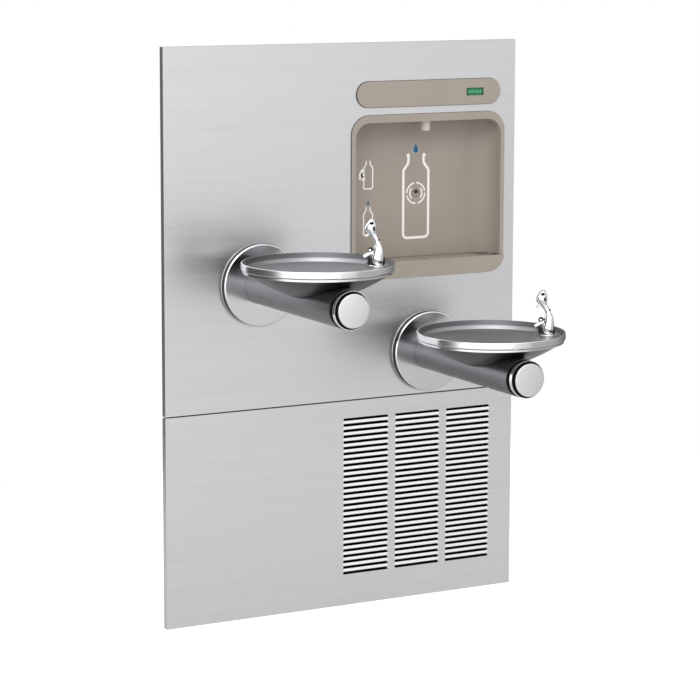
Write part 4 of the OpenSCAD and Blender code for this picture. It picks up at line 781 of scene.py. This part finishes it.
# Rings from the deck up, or along a piece
GUARD = [(-2.0, 2.6, 0, 9.6, 14.2), (0.6, 5, 0, 13.0, 16.0), (1.4, 12, 0, 15.0, 16.8),
         (1.6, 21, 0, 15.4, 16.4), (-0.4, 28, 0, 13.2, 15.0), (-0.4, 36, -2, 12.0, 13.6),
         (-1.0, 43, 0, 10.0, 12.0), (0.2, 50, 12, 7.4, 10.4), (2.0, 56.5, 26, 6.4, 9.0),
         (5.4, 63, 34, 6.1, 8.4), (9.8, 70, 32, 6.9, 8.8), (13.8, 76.5, 18, 9.6, 11.0),
         (17.2, 82.5, 6, 14.2, 13.0), (16.8, 88.5, 0, 14.0, 13.6), (15.0, 95, -4, 11.2, 12.8),
         (14.0, 101, -4, 8.4, 10.6), (13.6, 106.2, 0, 4.6, 6.6), (13.6, 108, 0, 2.2, 3.4)]
SPOUT = [(0, 34, 104, 6.8, 6.6), (7, 32.4, 108, 6.2, 6.0), (14, 29.6, 114, 5.4, 5.4),
         (21, 26.2, 117, 4.9, 5.0), (28, 22.6, 119, 4.8, 4.9), (31.6, 20.6, 120, 4.5, 4.6),
         (33.2, 19.7, 120, 3.4, 3.6)]
BEAK = [(17, 75.5, -52, 3.6, 6.0), (21, 71.5, -55, 2.4, 5.6), (25, 68.4, -58, 2.0, 5.0),
        (30, 65.0, -60, 1.5, 3.8)]
BOOT = [(4, 3.0, 0, 19.0, 10.4), (4, 4.0, 0, 19.8, 11.2), (4, 18.4, 0, 19.8, 11.2), (4, 19.8, 0, 19.0, 10.4)]
# Turned foot, as (radius, height)
FOOT = [(0, -0.2), (20.4, -0.2), (21, 0.4), (21, 2.2), (20.3, 3), (18.8, 3.3), (17, 3.1), (0, 3.1)]
# Windows of the hood, as (u, z, half width, half height, half depth), and how they lean and how far
# their middles stand out from the hood's
WINDOWS = [(14.2, 98.5, 5.6, 3.8, 8.4), (9.2, 86.0, 2.6, 5.6, 9.0)]
WINDOW_LEAN, WINDOW_OUT = 0.2, 13.5


def at_bubbler(side):
    """Places a bubbler's own frame: u points back over the basin, and z up from the deck."""
    out = Vector((math.cos(BUBBLER_TURN), math.sin(BUBBLER_TURN), 0)) * BUBBLER_REACH
    base = basin_centre(side) + out
    base.z = rim_height(side) - DECK_DROP
    return Matrix.Translation(base) @ Matrix.Rotation(BUBBLER_TURN + math.pi, 4, "Z")


def cut_windows(piece, at):
    """Side openings of the hood, cut in from both faces, their walls painted black as painted shade."""
    cutter_mesh = bmesh.new()
    for u, z, half_w, half_h, depth in WINDOWS:
        for way in (-1, 1):
            hole = (at @ Matrix.Translation((u * MM, way * WINDOW_OUT * MM, z * MM))
                    @ Matrix.Rotation(WINDOW_LEAN, 4, "Y")
                    @ Matrix.Diagonal((half_w * MM, depth * MM, half_h * MM, 1)))
            bmesh.ops.create_icosphere(cutter_mesh, subdivisions=3, radius=1.0, matrix=hole)
    data = bpy.data.meshes.new("cutter")
    cutter_mesh.to_mesh(data)
    cutter_mesh.free()
    # Painted shade: the cut's walls take this black
    data.materials.append(BLACK_GLOSS_AND_SHADE)
    cutter = bpy.data.objects.new("cutter", data)
    bpy.context.scene.collection.objects.link(cutter)
    cut = piece.modifiers.new("cut", "BOOLEAN")
    cut.object = cutter
    cut.operation = "DIFFERENCE"
    cut.solver = "EXACT"
    cut.material_mode = "TRANSFER"
    shape = bpy.data.meshes.new_from_object(piece.evaluated_get(bpy.context.evaluated_depsgraph_get()))
    piece.modifiers.clear()
    piece.data = shape
    bpy.data.objects.remove(cutter)
    piece.modifiers.new("smooth", "NODES").node_group = SMOOTH


def cast(side, name, rings, at, sides):
    """A cast and chromed piece of the bubbler, lofted from its rings and rounded."""
    mesh = bmesh.new()
    loft(mesh, rings, sides)
    bmesh.ops.transform(mesh, matrix=at, verts=mesh.verts)
    made = piece_of(mesh, f"{side}_{name}", CHROME, smooth=False)
    full = made.modifiers.new("full", "SUBSURF")
    full.levels = full.render_levels = 2
    return made


def oval(side, name, material, at, centre, halves):
    """A small rounded piece of the bubbler: its middle and its half sizes, in millimetres."""
    mesh = bmesh.new()
    stretch = Matrix.Translation(Vector(centre) * MM) @ Matrix.Diagonal((*halves, 1))
    bmesh.ops.create_icosphere(mesh, subdivisions=3, radius=MM, matrix=at @ stretch)
    piece_of(mesh, f"{side}_{name}", material)


def bubbler(side):
    """The cast guard and spout on their turned foot, with the jet in a black oval of painted shade, the screw
    and the boot.
    """
    at = at_bubbler(side)
    hood = cast(side, "mouth_guard", GUARD, at, 16)
    cut_windows(hood, at)
    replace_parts(hood, f"{side}_bubbler")
    for name, rings, sides in (("spout", SPOUT, 12), ("mouth_guard_lip", BEAK, 12)):
        made = cast(side, name, rings, at, sides)
        made.modifiers.new("smooth", "NODES").node_group = SMOOTH
    foot = bmesh.new()
    lathe(foot, FOOT)
    bmesh.ops.transform(foot, matrix=at, verts=foot.verts)
    piece_of(foot, f"{side}_bubbler_foot", CHROME)
    pad = bmesh.new()
    loft(pad, BOOT, 40)
    bmesh.ops.transform(pad, matrix=at, verts=pad.verts)
    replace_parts(piece_of(pad, f"{side}_rubber_boot", RUBBER_AND_SHADE), f"{side}_boot")
    # Painted shade: a black oval round the jet stands in for the dark of the opening it sits in
    oval(side, "jet_opening_shade", RUBBER_AND_SHADE, at, centre=(17.4, 0, 36.6), halves=(6.6, 5.6, 6.4))
    oval(side, "jet", CHROME, at, centre=(18.4, 4.2, 36.2), halves=(3.2, 3.0, 3.2))
    oval(side, "grub_screw", BLACK_GLOSS_AND_SHADE, at, centre=(-2.6, 6.6, 60.5), halves=(2.1, 2.1, 2.1))


for side in SIDES:
    bubbler(side)


# Push buttons, in millimetres: the collar's height and radius, the cap's, and how far its face crowns
COLLAR, COLLAR_R = 2.4, 39.2
CAP_R, FACE_R, CROWN = 38.4, 37.4, 0.8


def crowned_cap(side):
    """The steel cap pressed on each button, with a round edge and a crowned face, on a black rubber collar,
    whose black also fills the gap round the cap as painted shade.
    """
    low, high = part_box(f"{side}_button_cap")
    centre = arm_centre(side)
    at = Matrix.Translation((centre.x, high.y, centre.z)) @ Matrix.Rotation(math.radians(90), 4, "X")
    top = (high.y - low.y) / MM + COLLAR
    mesh = bmesh.new()
    side_wall = [(0, COLLAR), (CAP_R - 0.2, COLLAR), (CAP_R, top - 0.8), (CAP_R - 0.4, top - 0.2)]
    crown = [(FACE_R * k / 6, top + CROWN * (1 - (k / 6) ** 2)) for k in range(6, -1, -1)]
    lathe(mesh, side_wall + crown, 72)
    bmesh.ops.transform(mesh, verts=mesh.verts, matrix=at)
    collar = bmesh.new()
    lathe(collar, [(0, -0.2), (COLLAR_R, -0.2), (COLLAR_R, COLLAR - 0.3), (COLLAR_R - 0.4, COLLAR + 0.2),
                   (0, COLLAR + 0.2)], 72)
    bmesh.ops.transform(collar, verts=collar.verts, matrix=at)
    # The collar is rubber, and its black is also painted shade in the gap round the cap
    piece_of(collar, f"{side}_cap_collar", RUBBER_AND_SHADE, body=f"{side}_button")
    # Fine turned face of the cap, bright with a soft bloom
    steel = finish(f"turned_button_{side}", "#E6E6E8", "#F0F0F1", (0.22, 0.28), LATHE_RING, EVEN, 0.004,
                   (centre, 1), Metallic=1.0)
    made = piece_of(mesh, f"{side}_crowned_cap", steel, body=f"{side}_button")
    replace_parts(made, f"{side}_button_cap")


for side in SIDES:
    crowned_cap(side)


# Studio: what metal mirrors changes with the way it looks. Each row is the axis, the two parts of
# that axis in the way between which it changes, and the brightness before and after
FALL = [("Y", -0.3, 0.6, 1.5, 0.5),       # brightest in front, dim behind the wall
        ("Z", -0.35, 0.25, 0.60, 1.05),   # dim below
        ("X", -0.25, 0.38, 1.55, 0.86),   # bright at the left
        ("X", 0.40, 0.62, 1.0, 0.58)]     # dim at the far right
DARK_FLAG = (-0.77, 0.63, -0.09)          # a black cloth behind the wall's left, as studios hang one
FLAG_FALL = (0.6, 0.88, 1.0, 0.2)         # how squarely the way meets it, and the brightness, as above
MATT_LIGHT = 0.95                         # what matt surfaces get from all round
AIM = (0, -0.1, 0)                        # where the lamps point
FLOOR_DROP, FLOOR_HALF = 0.2, 2.4         # below the panel's foot, and half the floor's side, in metres
FLOOR_LIFT = 0.6                          # the floor's glow, for the camera alone


def pale_world():
    """White to the camera, an even pale light to matt surfaces, and to metal a studio that is
    brightest in front and at the left and dim behind, below and at the far right."""
    world = bpy.data.worlds.new("studio")
    bpy.context.scene.world = world
    world.use_nodes = True
    world.cycles.sampling_method = "NONE"  # else metal is lit by the diffuse rays' world
    tree = world.node_tree
    back = tree.nodes["Background"]
    path = add(tree, "ShaderNodeLightPath")
    toward = add(tree, "ShaderNodeTexCoord").outputs["Generated"]
    way = add(tree, "ShaderNodeSeparateXYZ", Vector=toward)
    flag = add(tree, "ShaderNodeVectorMath", {"operation": "DOT_PRODUCT"}, in0=toward, in1=DARK_FLAG)
    falls = [(way.outputs[axis], *rest) for axis, *rest in FALL] + [(flag.outputs["Value"], *FLAG_FALL)]
    mirrored = 1.0
    for value, start, end, before, after in falls:
        part = add(tree, "ShaderNodeMapRange", {"interpolation_type": "SMOOTHSTEP"}, Value=value,
                   From_Min=start, From_Max=end, To_Min=before, To_Max=after)
        both = add(tree, "ShaderNodeMath", {"operation": "MULTIPLY"}, in0=mirrored, in1=part.outputs[0])
        mirrored = both.outputs[0]
    studio = add(tree, "ShaderNodeMix", {"data_type": "FLOAT"}, in0=path.outputs["Is Glossy Ray"],
                 in2=MATT_LIGHT, in3=mirrored)
    strength = add(tree, "ShaderNodeMix", {"data_type": "FLOAT"}, in0=path.outputs["Is Camera Ray"],
                   in2=studio.outputs[0], in3=1.0)
    back.inputs["Color"].default_value = (1, 1, 1, 1)
    tree.links.new(strength.outputs[0], back.inputs["Strength"])


def soft_lamp(name, at, size, power):
    """A wide lamp at a place in metres, aimed at the object, with its power in watts."""
    data = bpy.data.lights.new(name, "AREA")
    data.shape = "RECTANGLE"
    data.size, data.size_y = size
    data.energy = power
    lamp = bpy.data.objects.new(name, data)
    lamp.location = at
    lamp.rotation_euler = (Vector(AIM) - Vector(at)).to_track_quat("-Z", "Y").to_euler()
    bpy.context.scene.collection.objects.link(lamp)


def floor():
    """Pale floor, 200 mm below the panel's foot and near 5 m wide, so that metal mirrors little of it."""
    mesh = bmesh.new()
    bmesh.ops.create_grid(mesh, x_segments=1, y_segments=1, size=FLOOR_HALF)
    move(mesh, z=PANEL_FOOT - FLOOR_DROP)
    data = bpy.data.meshes.new("floor")
    mesh.to_mesh(data)
    mesh.free()
    made = bpy.data.objects.new("floor", data)
    bpy.context.scene.collection.objects.link(made)
    # Painted studio floor: matt and pale, lifted to white where the camera sees it
    paint = finish("pale_floor_paint", "#D6D6D6", "#DCDCDC", (0.65, 0.75), ROLLER, EVEN, 0.01,
                   Specular_IOR_Level=0.1)
    tree = paint.node_tree
    shader = tree.nodes["Principled BSDF"]
    path = add(tree, "ShaderNodeLightPath")
    lift = add(tree, "ShaderNodeMath", {"operation": "MULTIPLY"}, in0=path.outputs["Is Camera Ray"],
               in1=FLOOR_LIFT)
    shader.inputs["Emission Color"].default_value = (1, 1, 1, 1)
    tree.links.new(lift.outputs[0], shader.inputs["Emission Strength"])
    data.materials.append(paint)


pale_world()
floor()
soft_lamp("key", at=(-2.2, -3.2, 3.4), size=(2.6, 2.0), power=60)
soft_lamp("side", at=(3.4, -2.6, 1.8), size=(1.6, 2.6), power=8)

bpy.context.scene.view_settings.view_transform = "Standard"
